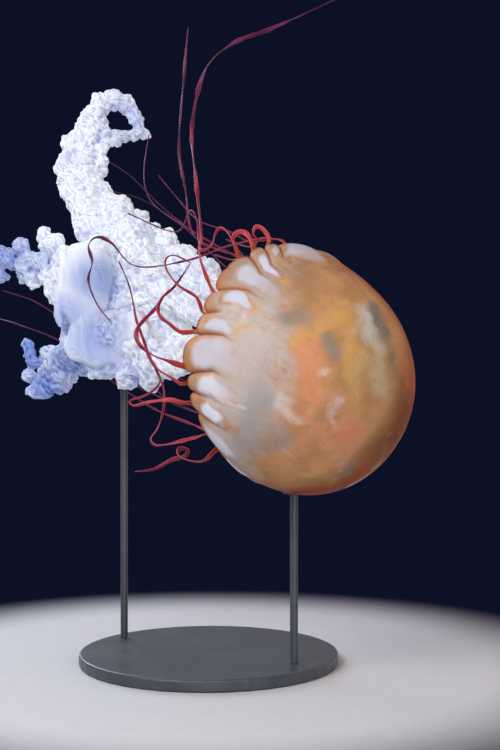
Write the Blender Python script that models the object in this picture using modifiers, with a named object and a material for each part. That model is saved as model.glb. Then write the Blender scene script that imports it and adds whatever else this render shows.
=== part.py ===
"""A life-size sea nettle jellyfish (Chrysaora fuscescens), swimming, on a display stand.

The bell leans over: its apex points to +X, down and toward the viewer at -Y.
Four oral arms and 24 tentacles trail from it toward -X, up and away.
The origin is the centre of the stand's underside. Lengths here are in
millimetres, and add_mesh turns them into metres.
"""

from math import cos, degrees, pi, radians, sin

import bmesh
import bpy
import numpy as np

MM = 0.001
GAP = 0.3  # between neighbouring pieces

# The bell: a near sphere, open below, with its frame of three directions.
BELL_CENTRE = np.array([87.0, -60.0, 295.0])
BELL_RADIUS = 118.0
BELL_HEIGHT = 122.0  # from the centre to the apex
BELL_TURN = radians(40)  # from +X toward the viewer
BELL_DIP = radians(25)  # and down
AXIS = np.array(
    [cos(BELL_TURN) * cos(BELL_DIP), -sin(BELL_TURN), -cos(BELL_TURN) * sin(BELL_DIP)]
)
UPPER = np.array([sin(BELL_DIP), 0.0, cos(BELL_DIP)])  # across the bell, upward
NEARER = np.cross(AXIS, UPPER)  # across the bell, toward the viewer
APEX_WALL = 14.0
MARGIN_WALL = 2.2

# The margin hangs askew: it shifts to one side and slants, from mid bell downward.
MARGIN_SHIFT = 10.0 * NEARER + 14.0 * UPPER
MARGIN_SLANT = 12.0
MARGIN_SLANT_AT = 258.0
MARGIN_CURL = 3.0  # how far the edge turns in
DENT = 8.0  # the far upper side is drawn in, as the bell pulses
DENT_AT = 108.0
DENT_SPREAD = 30.0

# Thirty-two lappets: angles from the apex in degrees, relief in millimetres.
LAPPETS = 32
NOTCH_ANGLE = 105.0
LAPPET_ANGLE = 7.3
LAPPET_SPAN = 360.0 / LAPPETS
FIRST_NOTCH = -16.0  # place round the bell of the notch that holds the first sense organ
NOTCH_DRIFT = 2.5  # how far the notches stray from even places, in degrees
CUSHION = 2.4

# The manubrium, the stalk of the mouth, hangs from the middle of the bell.
MANUBRIUM_TOP = 20.0
MANUBRIUM_FOOT = 27.0
CEILING_FALL = 6.6  # how far the bell's inside has fallen at the manubrium's edge
MANUBRIUM_DROP = 42.0  # height above the bell's centre where the arms begin

# Oral arms: courses are (right, back, up) from the bell's centre, with widths.
ARM_FLATNESS = 0.52
ARM_STEP = 20.0
ARM_SIDES = 10
ARM_RING = 14.0  # how far from the mouth's middle each arm begins
ARM_FREE = 3.0  # and how far below the manubrium's foot, as the arms start at a slant
ARMS = {
    "back": (
        110,
        [(-132, 165, 138), (-178, 248, 162), (-206, 312, 196), (-234, 370, 222), (-249, 402, 248)],
        [20, 24, 40, 56, 48, 36, 14],
        2,
    ),
    "up": (
        20,
        [(-131, 104, 90), (-192, 186, 162), (-226, 230, 217), (-256, 245, 258), (-241, 250, 300),
         (-217, 256, 332), (-192, 262, 334), (-178, 268, 311)],
        [20, 24, 33, 71, 58, 38, 44, 34, 28, 14],
        3,
    ),
    "left": (
        200,
        [(-134, 127, 50), (-220, 142, 98), (-272, 168, 122), (-318, 185, 134), (-345, 190, 144)],
        [20, 24, 33, 60, 42, 30, 12],
        2,
    ),
    "low": (
        290,
        [(-128, 66, 17), (-196, 104, 34), (-240, 134, 28), (-272, 150, 2), (-292, 155, -16)],
        [20, 24, 32, 58, 50, 32, 14],
        2,
    ),
}

# Tentacles: three in each of eight bays. Those that curl by the margin have a course of
# their own, (right, back, up) from the bell's centre, and the others trail by a rule.
BAYS = 8
TENTACLE_FLATNESS = 0.5
ROOT_OVERLAP = 3.0  # how far in from its notch a tentacle begins, in degrees
ROOT_WIDTH = 5.6
TIP_WIDTH = 1.3
TENTACLE_TAPER = 1.4
TENTACLE_STEP = 60.0  # the longest facet along a tentacle
TENTACLE_TURN = 40.0  # and the sharpest bend between two facets, in degrees
COURSES = {
    1: [(-110, -61, 46), (-121, -58, 54), (-130, -50, 61), (-133, -42, 70), (-129, -32, 81),
        (-121, -22, 90)],
    2: [(-95, -66, 79), (-113, -60, 91), (-124, -52, 106), (-125, -46, 117), (-117, -40, 121),
        (-101, -33, 114)],
    3: [(-90, -58, 111), (-93, -50, 127), (-91, -43, 140), (-97, -24, 195), (-102, 0, 254),
        (-89, 18, 315), (-60, 34, 346), (-19, 50, 366), (57, 78, 408)],
    4: [(-59, -34, 132), (-66, -34, 144), (-73, -31, 149), (-78, -25, 143), (-82, -20, 133),
        (-93, -10, 130), (-98, 30, 162), (-107, 60, 177), (-124, 90, 158), (-180, 138, 184)],
    5: [(-42, -16, 136), (-48, -14, 145), (-56, -8, 147), (-61, -3, 141), (-58, 4, 133),
        (-52, 14, 126), (-62, 42, 124), (-82, 70, 132)],
    6: [(-25, -6, 140), (-31, -6, 150), (-38, -2, 153), (-41, 6, 147), (-37, 15, 141),
        (-44, 50, 138), (-70, 92, 150)],
    7: [(-14, 16, 142), (-60, 60, 142), (-110, 92, 128), (-166, 100, 122), (-193, 95, 147),
        (-209, 98, 153), (-218, 100, 144), (-213, 93, 126), (-216, 84, 105), (-206, 78, 80),
        (-192, 82, 61)],
    8: [(-40, 80, 128), (-103, 130, 156), (-116, 150, 212), (-124, 165, 262), (-120, 180, 336),
        (-115, 195, 405)],
    9: [(-30, 120, 120), (-110, 190, 170), (-152, 214, 200), (-166, 228, 222), (-169, 236, 250),
        (-164, 246, 292)],
    20: [(-77, 9, -69), (-90, -4, -80), (-103, -12, -80), (-115, -8, -75), (-115, 1, -69),
         (-107, 7, -70), (-110, 16, -77), (-125, 22, -82), (-142, 26, -91), (-162, 30, -94)],
    21: [(-100, -21, -57), (-109, -28, -59), (-122, -30, -62), (-136, -26, -64), (-142, -19, -58),
         (-135, -14, -47), (-130, -4, -28), (-131, 6, -8), (-139, 16, 10), (-149, 26, 27)],
    22: [(-109, -38, -22), (-121, -42, -19), (-141, -38, -21), (-157, -34, -25), (-161, -27, -20),
         (-147, -22, -15), (-136, -16, -7), (-132, -10, 2)],
    23: [(-111, -54, -3), (-120, -56, 3), (-132, -48, 10), (-141, -38, 21), (-148, -30, 39),
         (-156, -18, 59), (-161, -5, 80), (-167, 8, 99), (-178, 25, 121)],
    24: [(-109, -54, 14), (-121, -57, 18), (-137, -52, 24), (-150, -48, 34), (-154, -44, 45),
         (-150, -38, 55), (-138, -26, 69), (-132, -15, 80), (-119, -9, 93), (-103, -8, 116)],
}
TRAIL_REACH = (300.0, 440.0)  # the shortest and the longest trailing tentacle
TRAIL_SPREAD = 30.0
TRAIL_LIFT = 0.14  # how much more steeply than the bell's axis they rise
TRAIL_WAVE = 16.0

# The display stand.
BASE_RADIUS = 135.0
BASE_THICKNESS = 12.0
ROD_RADIUS = 4.0
PAD_RADIUS = 11.0
PAD_THICKNESS = 3.0
ARM_ROD = (-95.0, 66.0)  # where the second rod stands

COLOURS = {
    "bell": (0.72, 0.40, 0.17),
    "manubrium": (0.80, 0.66, 0.52),
    "arm": (0.85, 0.88, 0.94),
    "tentacle": (0.45, 0.05, 0.06),
    "stand": (0.10, 0.11, 0.13),
}


def material(name, roughness=0.4, metallic=0.0):
    made = bpy.data.materials.get(name) or bpy.data.materials.new(name)
    made.use_nodes = True
    shader = made.node_tree.nodes["Principled BSDF"]
    shader.inputs["Base Color"].default_value = (*COLOURS[name], 1)
    shader.inputs["Roughness"].default_value = roughness
    shader.inputs["Metallic"].default_value = metallic
    return made


def smooth_step(value, low, high):
    share = np.clip((value - low) / (high - low), 0, 1)
    return share * share * (3 - 2 * share)


def unit(vector):
    return vector / np.linalg.norm(vector)


# ---------------------------------------------------------------- meshes


def add_mesh(name, bm, collection, look):
    """Make an object of the mesh, in metres, its faces pointing out and shaded smooth."""
    bmesh.ops.recalc_face_normals(bm, faces=bm.faces)
    bmesh.ops.scale(bm, vec=(MM, MM, MM), verts=bm.verts)
    mesh = bpy.data.meshes.new(name)
    bm.to_mesh(mesh)
    bm.free()
    mesh.shade_smooth()
    mesh.set_sharp_from_angle(angle=radians(50))
    mesh.materials.append(look)
    made = bpy.data.objects.new(name, mesh)
    collection.objects.link(made)
    return made


def stitch(bm, first, second):
    """Face the band between two rings, the second with as many points or twice as many."""
    step = len(second) // len(first)
    for i, corner in enumerate(first):
        following = first[(i + 1) % len(first)]
        across = [second[(i * step + s) % len(second)] for s in range(step + 1)]
        if step == 1:
            bm.faces.new((corner, across[0], across[1], following))
        else:
            bm.faces.new((corner, across[0], across[1]))
            bm.faces.new((corner, across[1], following))
            bm.faces.new((following, across[1], across[2]))


def fan(bm, ring, point):
    tip = bm.verts.new(point)
    for i, corner in enumerate(ring):
        bm.faces.new((corner, ring[(i + 1) % len(ring)], tip))


def loft(name, rings, collection, look):
    """A closed body through rings of points, with a flat cap on each end."""
    bm = bmesh.new()
    corners = [[bm.verts.new(point) for point in ring] for ring in rings]
    for first, second in zip(corners, corners[1:]):
        stitch(bm, first, second)
    bm.faces.new(corners[0])
    bm.faces.new(corners[-1])
    return add_mesh(name, bm, collection, look)


# ---------------------------------------------------------------- courses


SPLINE_SAMPLES = 14


def spline(points, samples=SPLINE_SAMPLES):
    """A smooth line through the points, as a Catmull-Rom spline."""
    points = [np.array(point, float) for point in points]
    line = []
    padded = [2 * points[0] - points[1], *points, 2 * points[-1] - points[-2]]
    for a, b, c, d in zip(padded, padded[1:], padded[2:], padded[3:]):
        for share in np.arange(samples) / samples:
            line.append(
                b
                + (c - a) * share / 2
                + (2 * a - 5 * b + 4 * c - d) * share**2 / 2
                + (3 * b - a - 3 * c + d) * share**3 / 2
            )
    line.append(points[-1])
    return np.array(line)


class Course:
    """A smooth line, read by the distance along it, with the turn that it has made."""

    def __init__(self, points):
        self.line = spline(points)
        steps = np.diff(self.line, axis=0)
        lengths = np.linalg.norm(steps, axis=1)
        ways = steps / lengths[:, None]
        bends = np.degrees(np.arccos(np.clip((ways[1:] * ways[:-1]).sum(1), -1, 1)))
        self.at = np.concatenate([[0], np.cumsum(lengths)])
        self.turned = np.concatenate([[0, 0], np.cumsum(bends)])
        self.length = self.at[-1]
        self.marks = self.at[::SPLINE_SAMPLES]

    def point(self, distance):
        return np.array([np.interp(distance, self.at, self.line[:, i]) for i in range(3)])

    def way(self, distance, reach=0.5):
        return unit(self.point(distance + reach) - self.point(distance - reach))

    def stations(self, start, end, longest, sharpest):
        """Distances from start to end, close enough for the longest step and sharpest turn."""
        fine = np.linspace(start, end, 400)
        effort = fine / longest + np.interp(fine, self.at, self.turned) / sharpest
        count = max(2, int(np.ceil(effort[-1] - effort[0])))
        return np.interp(np.linspace(effort[0], effort[-1], count + 1), effort, fine)


def lengths_of(course, pieces):
    """The start and end of each piece of a course, with a gap between neighbours."""
    ends = np.linspace(0, course.length, pieces + 1)
    starts = [end + (GAP / 2 if i else 0) for i, end in enumerate(ends[:-1])]
    stops = [end - (GAP / 2 if i < pieces - 1 else 0) for i, end in enumerate(ends[1:])]
    return list(zip(starts, stops))


# ---------------------------------------------------------------- the bell


def around(phi):
    return cos(radians(phi)) * NEARER + sin(radians(phi)) * UPPER


def margin_lean(theta, phi):
    slant = MARGIN_SLANT * cos(radians(phi - MARGIN_SLANT_AT)) * AXIS
    return smooth_step(theta, 35, 105) * (MARGIN_SHIFT + slant)


def bell_point(theta, phi, out=0.0):
    """A point of the bell: theta from the apex, phi round it, out from the outer face."""
    t = radians(theta)
    apart = (phi - DENT_AT + 180) % 360 - 180
    out -= DENT * np.exp(-((apart / DENT_SPREAD) ** 2)) * smooth_step(theta, 55, 95)
    across, along = unit(np.array([sin(t) / BELL_RADIUS, cos(t) / BELL_HEIGHT]))
    radius = BELL_RADIUS * sin(t) - MARGIN_CURL * smooth_step(theta, 88, 112) + out * across
    height = BELL_HEIGHT * cos(t) + out * along
    return BELL_CENTRE + radius * around(phi) + height * AXIS + margin_lean(theta, phi)


def middle_of_bell(height):
    """The middle of the hollow at a height above the bell's centre."""
    theta = degrees(np.arccos(height / BELL_HEIGHT))
    return BELL_CENTRE + height * AXIS + smooth_step(theta, 35, 105) * MARGIN_SHIFT


def wall(theta):
    return APEX_WALL + (MARGIN_WALL - APEX_WALL) * smooth_step(theta, 20, 98)


def strayed(place):
    """The angle round the bell of an even place on its margin."""
    return place - NOTCH_DRIFT * cos(radians(4 * place))


def lappet_share(place):
    """0 in the notches of the margin and 1 in the middle of each lappet."""
    return abs(sin(pi * (place - FIRST_NOTCH) / LAPPET_SPAN))


def edge_angle(place):
    return NOTCH_ANGLE + LAPPET_ANGLE * lappet_share(place) ** 0.7


def relief(theta, place):
    return CUSHION * smooth_step(theta, 78, 96) * (lappet_share(place) ** 0.5 - 0.35)


def bell_ring(bm, theta, count, outer):
    """One ring of points, at the angle theta or, where that is None, along the edge."""
    ring = []
    for i in range(count):
        place = FIRST_NOTCH + 360 * i / count
        angle = edge_angle(place) if theta is None else theta
        out = relief(angle, place) if outer else -wall(angle)
        ring.append(bm.verts.new(bell_point(angle, strayed(place), out)))
    return ring


def make_bell(collection):
    bm = bmesh.new()
    outside = ((14, 32), (29, 32), (45, 64), (61, 64), (77, 64), (91, 128), (101, 128))
    inside = ((28, 32), (54, 64), (78, 64), (93, 128), (101, 128))
    edges = []
    for levels, outer in ((outside, True), (inside, False)):
        rings = [bell_ring(bm, theta, count, outer) for theta, count in (*levels, (None, 128))]
        fan(bm, rings[0], bell_point(0, 0, 0 if outer else -APEX_WALL))
        for first, second in zip(rings, rings[1:]):
            stitch(bm, first, second)
        edges.append(rings[-1])
    stitch(bm, *edges)
    add_mesh("bell", bm, collection, material("bell", 0.25))


def make_manubrium(collection):
    """A four-cornered stalk from the inside of the apex down to where the arms begin."""
    ceiling = BELL_HEIGHT - APEX_WALL - CEILING_FALL
    rings = []
    for share in np.linspace(0, 1, 7):
        height = ceiling + (MANUBRIUM_DROP - ceiling) * share
        radius = MANUBRIUM_TOP + (MANUBRIUM_FOOT - MANUBRIUM_TOP) * share**2
        ring = []
        for phi in np.arange(0, 360, 15):
            lobed = radius * (1 + 0.14 * share * cos(radians(4 * (phi - 20))))
            ring.append(middle_of_bell(height) + lobed * around(phi))
        rings.append(ring)
    loft("manubrium", rings, collection, material("manubrium"))


# ---------------------------------------------------------------- the oral arms


def arm_course(name):
    """From the foot of the manubrium, out of the bell, along the arm's own points."""
    phi, points, _, _ = ARMS[name]
    start = middle_of_bell(MANUBRIUM_DROP - ARM_FREE) + ARM_RING * around(phi)
    leaving = middle_of_bell(-30) + 20 * around(phi)
    return Course([start, leaving, *(BELL_CENTRE + point for point in np.array(points))])


def arm_ring(course, distance, width):
    """A flat, lobed section, broad to the viewer. Its lobes wander along the arm."""
    way = course.way(distance)
    broad = unit(np.cross(way, (0.0, 1.0, 0.0)))
    thin = np.cross(way, broad)
    wander = distance / ARM_STEP
    ring = []
    for angle in np.arange(ARM_SIDES) * 2 * pi / ARM_SIDES:
        lobes = 0.12 * cos(4 * angle + 2.1 * wander) + 0.09 * sin(3 * angle - 1.3 * wander)
        size = width / 2 * (0.9 + lobes)
        ring.append(
            course.point(distance) + size * (cos(angle) * broad + ARM_FLATNESS * sin(angle) * thin)
        )
    return ring


def make_arm(name, collection):
    course = arm_course(name)
    _, points, widths, pieces = ARMS[name]
    for number, (start, end) in enumerate(lengths_of(course, pieces), 1):
        stations = np.linspace(start, end, max(3, round((end - start) / ARM_STEP)) + 1)
        rings = [arm_ring(course, at, np.interp(at, course.marks, widths)) for at in stations]
        loft(f"oral_arm_{name}_{number}", rings, collection, material("arm", 0.6))


# ---------------------------------------------------------------- the tentacles


def tentacle_phi(number):
    """The angle of a tentacle's notch: each bay's three, between two sense organs."""
    bay, order = divmod(number - 1, 3)
    return strayed(FIRST_NOTCH + 360 / BAYS * bay + LAPPET_SPAN * (order + 1))


def trailing_points(number, phi, root):
    """The rule for a tentacle that trails free: away from the apex, outward and in waves."""
    reach = TRAIL_REACH[0] + (TRAIL_REACH[1] - TRAIL_REACH[0]) * (number * 5 % 7) / 6
    points = []
    for share in (0.12, 0.3, 0.5, 0.7, 0.87, 1.0):
        swing = 2 * pi * (1.2 * share + 0.17 * number)
        spread = TRAIL_SPREAD * smooth_step(share, 0, 0.6)
        wave = TRAIL_WAVE * share * (sin(swing) * NEARER + cos(swing) * UPPER)
        rise = reach * share * TRAIL_LIFT * np.array([0, 0, 1])
        points.append(root - reach * share * AXIS + spread * around(phi) + wave + rise)
    return points


def tentacle_course(number):
    """From under the margin at a notch, out past the lappets, then along its course."""
    phi = tentacle_phi(number)
    under = MARGIN_WALL + ROOT_WIDTH * TENTACLE_FLATNESS / 2 + 2 * GAP
    start = bell_point(NOTCH_ANGLE - ROOT_OVERLAP, phi, -under)
    leaving = bell_point(NOTCH_ANGLE + LAPPET_ANGLE, phi, -under - 2 * GAP)
    if number in COURSES:
        rest = [BELL_CENTRE + point for point in np.array(COURSES[number])]
    else:
        rest = trailing_points(number, phi, leaving)
    return Course([start, leaving, *rest])


def tentacle_rings(course, start, end, phi):
    """Flat six-sided sections, their broad side carried along the course without twisting."""
    carried = []
    marks = np.linspace(0, course.length, 120)
    broad = np.cross(AXIS, around(phi))
    for distance in marks:
        way = course.way(distance)
        broad = unit(broad - broad.dot(way) * way)
        carried.append(broad)
    carried = np.array(carried)
    rings = []
    for distance in course.stations(start, end, TENTACLE_STEP, TENTACLE_TURN):
        broad = np.array([np.interp(distance, marks, carried[:, i]) for i in range(3)])
        thin = unit(np.cross(course.way(distance), broad))
        broad = np.cross(thin, course.way(distance))
        slenderness = (1 - distance / course.length) ** TENTACLE_TAPER
        half = (TIP_WIDTH + (ROOT_WIDTH - TIP_WIDTH) * slenderness) / 2
        rings.append(
            [
                course.point(distance)
                + half * (cos(turn) * broad + TENTACLE_FLATNESS * sin(turn) * thin)
                for turn in np.arange(6) * pi / 3
            ]
        )
    return rings


def make_tentacle(number, collection):
    course = tentacle_course(number)
    pieces = 1 if course.length < 170 else 2
    for piece, (start, end) in enumerate(lengths_of(course, pieces), 1):
        rings = tentacle_rings(course, start, end, tentacle_phi(number))
        name = f"tentacle_{number:02d}_{piece}"
        loft(name, rings, collection, material("tentacle", 0.35))


# ---------------------------------------------------------------- the stand


def cylinder(name, radius, low, high, at, collection, sides=32):
    bm = bmesh.new()
    bmesh.ops.create_cone(
        bm, cap_ends=True, segments=sides, radius1=radius, radius2=radius, depth=high - low
    )
    bmesh.ops.translate(bm, vec=(at[0], at[1], (low + high) / 2), verts=bm.verts)
    return add_mesh(name, bm, collection, material("stand", 0.35, 0.9))


def lowest_above(collection, at, radius, prefixes):
    """The lowest height, in millimetres, of the body over a disc of the stand."""
    lowest = float("inf")
    graph = bpy.context.evaluated_depsgraph_get()
    for piece in collection.objects:
        if not piece.name.startswith(prefixes):
            continue
        for angle in np.arange(0, 2 * pi, pi / 12):
            for share in (0, 0.5, 1):
                spot = np.array(at) + share * radius * np.array([cos(angle), sin(angle)])
                origin = (spot[0] * MM, spot[1] * MM, 0.0)
                hit, place, _, _ = piece.evaluated_get(graph).ray_cast(origin, (0, 0, 1))
                if hit:
                    lowest = min(lowest, place.z / MM)
    return lowest


def make_rod(name, at, prefixes, collection):
    """A rod with a pad on it, up to just under the body."""
    bpy.context.view_layer.update()
    top = lowest_above(collection, at, PAD_RADIUS, prefixes) - GAP
    low = BASE_THICKNESS + GAP
    neck = top - PAD_THICKNESS
    levels = ((ROD_RADIUS, low), (ROD_RADIUS, neck), (PAD_RADIUS, neck + 1), (PAD_RADIUS, top))
    rings = [
        [
            (at[0] + radius * cos(angle), at[1] + radius * sin(angle), height)
            for angle in np.arange(0, 2 * pi - 0.01, pi / 10)
        ]
        for radius, height in levels
    ]
    loft(name, rings, collection, material("stand", 0.35, 0.9))


def make_stand(collection):
    base = cylinder("stand_base", BASE_RADIUS, 0, BASE_THICKNESS, (0, 0), collection, 40)
    edge = base.modifiers.new("rounded_edge", "BEVEL")
    edge.width = 2 * MM
    edge.segments = 2
    edge.limit_method = "ANGLE"
    make_rod("stand_rod_bell", BELL_CENTRE[:2], "bell", collection)
    make_rod("stand_rod_arm", ARM_ROD, "oral_arm", collection)


def clear_scene():
    for thing in list(bpy.data.objects):
        bpy.data.objects.remove(thing, do_unlink=True)


def main():
    clear_scene()
    collection = bpy.data.collections.new("sea_nettle")
    bpy.context.scene.collection.children.link(collection)
    make_bell(collection)
    make_manubrium(collection)
    for name in ARMS:
        make_arm(name, collection)
    for number in range(1, 3 * BAYS + 1):
        make_tentacle(number, collection)
    make_stand(collection)


main()
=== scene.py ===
# %% [markdown]
# # A sea nettle jellyfish on its display stand
#
# The imported model is a plain frame: a smooth bell, a stalk, lobed arms and faceted
# tentacles on a stand. This lesson dresses it with skins, frills and finishes.
# The frame comes first.

# %% Load the frame
from math import pi, radians

import bmesh
import bpy
import numpy as np
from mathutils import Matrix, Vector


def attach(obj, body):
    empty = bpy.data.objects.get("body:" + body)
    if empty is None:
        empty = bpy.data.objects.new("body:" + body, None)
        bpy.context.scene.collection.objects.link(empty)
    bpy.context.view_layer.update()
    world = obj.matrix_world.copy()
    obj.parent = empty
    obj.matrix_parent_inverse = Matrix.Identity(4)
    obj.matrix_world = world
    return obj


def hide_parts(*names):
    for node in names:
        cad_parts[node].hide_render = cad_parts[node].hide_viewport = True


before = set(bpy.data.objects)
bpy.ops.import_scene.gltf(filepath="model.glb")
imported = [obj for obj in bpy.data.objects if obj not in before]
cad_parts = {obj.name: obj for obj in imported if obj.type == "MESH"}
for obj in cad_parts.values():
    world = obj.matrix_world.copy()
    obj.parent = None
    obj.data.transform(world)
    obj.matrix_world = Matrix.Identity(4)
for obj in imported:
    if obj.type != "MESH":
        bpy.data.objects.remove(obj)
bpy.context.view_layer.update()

MM = 0.001
node_names = sorted(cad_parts)

# %% [markdown]
# ## The camera
#
# A lens looks level along +Y, from in front of the model and a little above its
# middle. A camera could also be aimed by a constraint, but two plain numbers for
# its place and a quarter turn about X are easier to read, and never shift.

# %% Camera
CAMERA_PLACE = (0.043, -1.360, 0.300)
CAMERA_LENS = 62.4


def add_camera():
    data = bpy.data.cameras.new("camera")
    data.sensor_fit = "VERTICAL"
    data.sensor_height = 36
    data.lens = CAMERA_LENS
    camera = bpy.data.objects.new("camera", data)
    camera.location = CAMERA_PLACE
    camera.rotation_euler = (pi / 2, 0, 0)
    bpy.context.scene.collection.objects.link(camera)
    bpy.context.scene.camera = camera
    return camera


print("camera at", tuple(add_camera().location))

# %% [markdown]
# ## Sums of sockets
#
# A finish is a small sum: a mask here, less some noise there. Written with nodes
# alone it is a page of links, so one class wraps a node's output and turns Python's
# own operators into Math nodes. `1 - mask` has the number first, which is why the
# reflected forms are there too.

# %% Colours, numbers and finishes
def colour(red, green, blue):
    """A colour from the 0 to 255 scale of a paint chart, made linear for the shader."""
    shares = np.array([red, green, blue]) / 255
    linear = np.where(shares <= 0.04045, shares / 12.92, ((shares + 0.055) / 1.055) ** 2.4)
    return (*(float(share) for share in linear), 1.0)


class Number:
    """What comes out of a node, which can stand in a Python sum."""

    def __init__(self, finish, socket):
        self.finish = finish
        self.socket = socket

    def __add__(self, other):
        return self.finish.math("ADD", self, other)

    __radd__ = __add__

    def __sub__(self, other):
        return self.finish.math("SUBTRACT", self, other)

    def __rsub__(self, other):
        return self.finish.math("SUBTRACT", other, self)

    def __mul__(self, other):
        return self.finish.math("MULTIPLY", self, other)


class Finish:
    """One material. Numbers that never change are set on its shader's own sockets."""

    def __init__(self, name, constants):
        self.material = bpy.data.materials.new(name)
        self.material.use_nodes = True
        self.tree = self.material.node_tree
        self.shader = self.tree.nodes["Principled BSDF"]
        for socket, value in constants.items():
            self.set(socket, value)

    def set(self, socket, value):
        self.feed(self.shader.inputs[socket], value)

    def feed(self, socket, value):
        if isinstance(value, Number):
            self.tree.links.new(value.socket, socket)
        else:
            socket.default_value = value

    def node(self, kind, inputs=(), output=0, **settings):
        """Add a node, with its settings and the values or links of its sockets."""
        made = self.tree.nodes.new("ShaderNode" + kind)
        for setting, value in settings.items():
            setattr(made, setting, value)
        for socket, value in dict(inputs).items():
            self.feed(made.inputs[socket], value)
        return Number(self, made.outputs[output])

    def math(self, operation, *terms):
        return self.node("Math", enumerate(terms), operation=operation)

    def number(self, attribute):
        """A number that the mesh carries at each of its points."""
        return self.node("Attribute", (), "Fac", attribute_name=attribute)

    def place(self, attribute=None):
        """A place to look a pattern up at: the mesh's own vectors, or metres in space."""
        if attribute is None:
            return self.node("TexCoord", (), "Object")
        return self.node("Attribute", (), "Vector", attribute_name=attribute)

    def noise(self, place, scale, detail, roughness, distortion=0.0):
        return self.node("TexNoise", {
            "Vector": place, "Scale": scale, "Detail": detail,
            "Roughness": roughness, "Distortion": distortion,
        })

    def ramp(self, value, low, high, start=0.0, end=1.0):
        """From start to end, smoothly, as the value goes from low to high."""
        inputs = enumerate((value, low, high, start, end))
        return self.node("MapRange", inputs, interpolation_type="SMOOTHSTEP", clamp=True)

    def mix(self, share, first, second):
        """One tone over another, by a share. A plain red, green and blue do for a tone."""
        tones = [colour(*tone) if isinstance(tone, tuple) else tone for tone in (first, second)]
        inputs = {0: share, 6: tones[0], 7: tones[1]}
        return self.node("Mix", inputs, 2, data_type="RGBA", clamp_factor=True)

    def washed(self, tone, *washes):
        """A tone with others laid over it in turn, each by its share."""
        for share, wash in washes:
            tone = self.mix(share, tone, wash)
        return tone

    def painted(self, tone, height, distance, strength):
        """The material, with its last two parts: its tone and its fine relief."""
        self.set("Base Color", tone)
        inputs = {"Height": height, "Distance": distance, "Strength": strength}
        self.set("Normal", self.node("Bump", inputs))
        return self.material


print("a mid grey is", [round(share, 3) for share in colour(128, 128, 128)[:3]])

# %% [markdown]
# ## Meshes from grids
#
# Every soft piece here is a grid of points: rows along it, columns across or round
# it. Blender can build such skins with curves and modifiers too, but a grid worked
# out with numpy takes any formula for its relief, and each point can carry the
# numbers that the finish needs, such as how deep in a groove it lies.

# %% Grid meshes
def grid_faces(rows, columns):
    """Faces between neighbouring rows, and round from the last column to the first."""
    index = np.arange(rows * columns).reshape(rows, columns)
    index = np.concatenate([index, index[:, :1]], axis=1)
    corners = (index[:-1, :-1], index[:-1, 1:], index[1:, 1:], index[1:, :-1])
    return np.stack(corners, axis=-1).reshape(-1, 4)


def grid_uv(rows, columns):
    """Corners for grid_faces on a flat patch, with no overlap at the closed seam."""
    flat = np.stack(np.meshgrid(np.linspace(0, 1, columns + 1), np.linspace(0, 1, rows)), -1)
    corners = (flat[:-1, :-1], flat[:-1, 1:], flat[1:, 1:], flat[1:, :-1])
    return np.stack(corners, axis=-2).reshape(-1, 2)


def add_mesh(name, points, faces, uv, material, caps=(), numbers=None, vectors=None):
    """An object of four-cornered faces, from points in millimetres, with rings to cap."""
    mesh = bpy.data.meshes.new(name)
    mesh.from_pydata(points * MM, [], faces.tolist() + [cap.tolist() for cap in caps])
    mesh.shade_smooth()
    layer = mesh.uv_layers.new(name="OFBake")
    flat = [uv, *(np.full((len(cap), 2), 0.001) for cap in caps)]
    layer.uv.foreach_set("vector", np.concatenate(flat).astype(np.float32).ravel())
    fields = (("FLOAT", "value", numbers), ("FLOAT_VECTOR", "vector", vectors))
    for kind, field, all_values in fields:
        for attribute, values in (all_values or {}).items():
            made = mesh.attributes.new(attribute, kind, "POINT")
            made.data.foreach_set(field, values.astype(np.float32).ravel())
    mesh.materials.append(material)
    made = bpy.data.objects.new(name, mesh)
    bpy.context.scene.collection.objects.link(made)
    return made


def add_tube(name, grid, material, numbers, vectors=None):
    """A skin whose rows are rings of points, capped at its first and last ring."""
    rows, columns = grid.shape[:2]
    ring = np.arange(columns)
    return add_mesh(
        name, grid.reshape(-1, 3), grid_faces(rows, columns), grid_uv(rows, columns),
        material, (ring[::-1], ring + (rows - 1) * columns), numbers, vectors,
    )


def dress(piece, prefix):
    """Let a piece ride on the model in the place of the plain nodes of that name."""
    nodes = [name for name in node_names if name.startswith(prefix)]
    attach(piece, "root")
    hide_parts(*nodes)
    print(piece.name, 2 * len(piece.data.polygons), "triangles, stands for", len(nodes), "nodes")


def smooth_step(value, low, high):
    share = np.clip((value - low) / (high - low), 0, 1)
    return share * share * (3 - 2 * share)


def hump(value):
    """1 at nought, and nearly nought beyond 2 to each side."""
    return np.exp(-(value**2))


def unit(vectors):
    return vectors / np.linalg.norm(vectors, axis=-1, keepdims=True)


# %% [markdown]
# ## The bell's shape
#
# The bell is a near sphere of jelly, open below, that leans over as it swims. Its
# skin has to follow the frame, so the same few sizes are repeated here: a radius, a
# height, two turns, and a margin that hangs askew. One function gives any point of
# it from two angles, theta down from the apex and phi round it.

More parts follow.
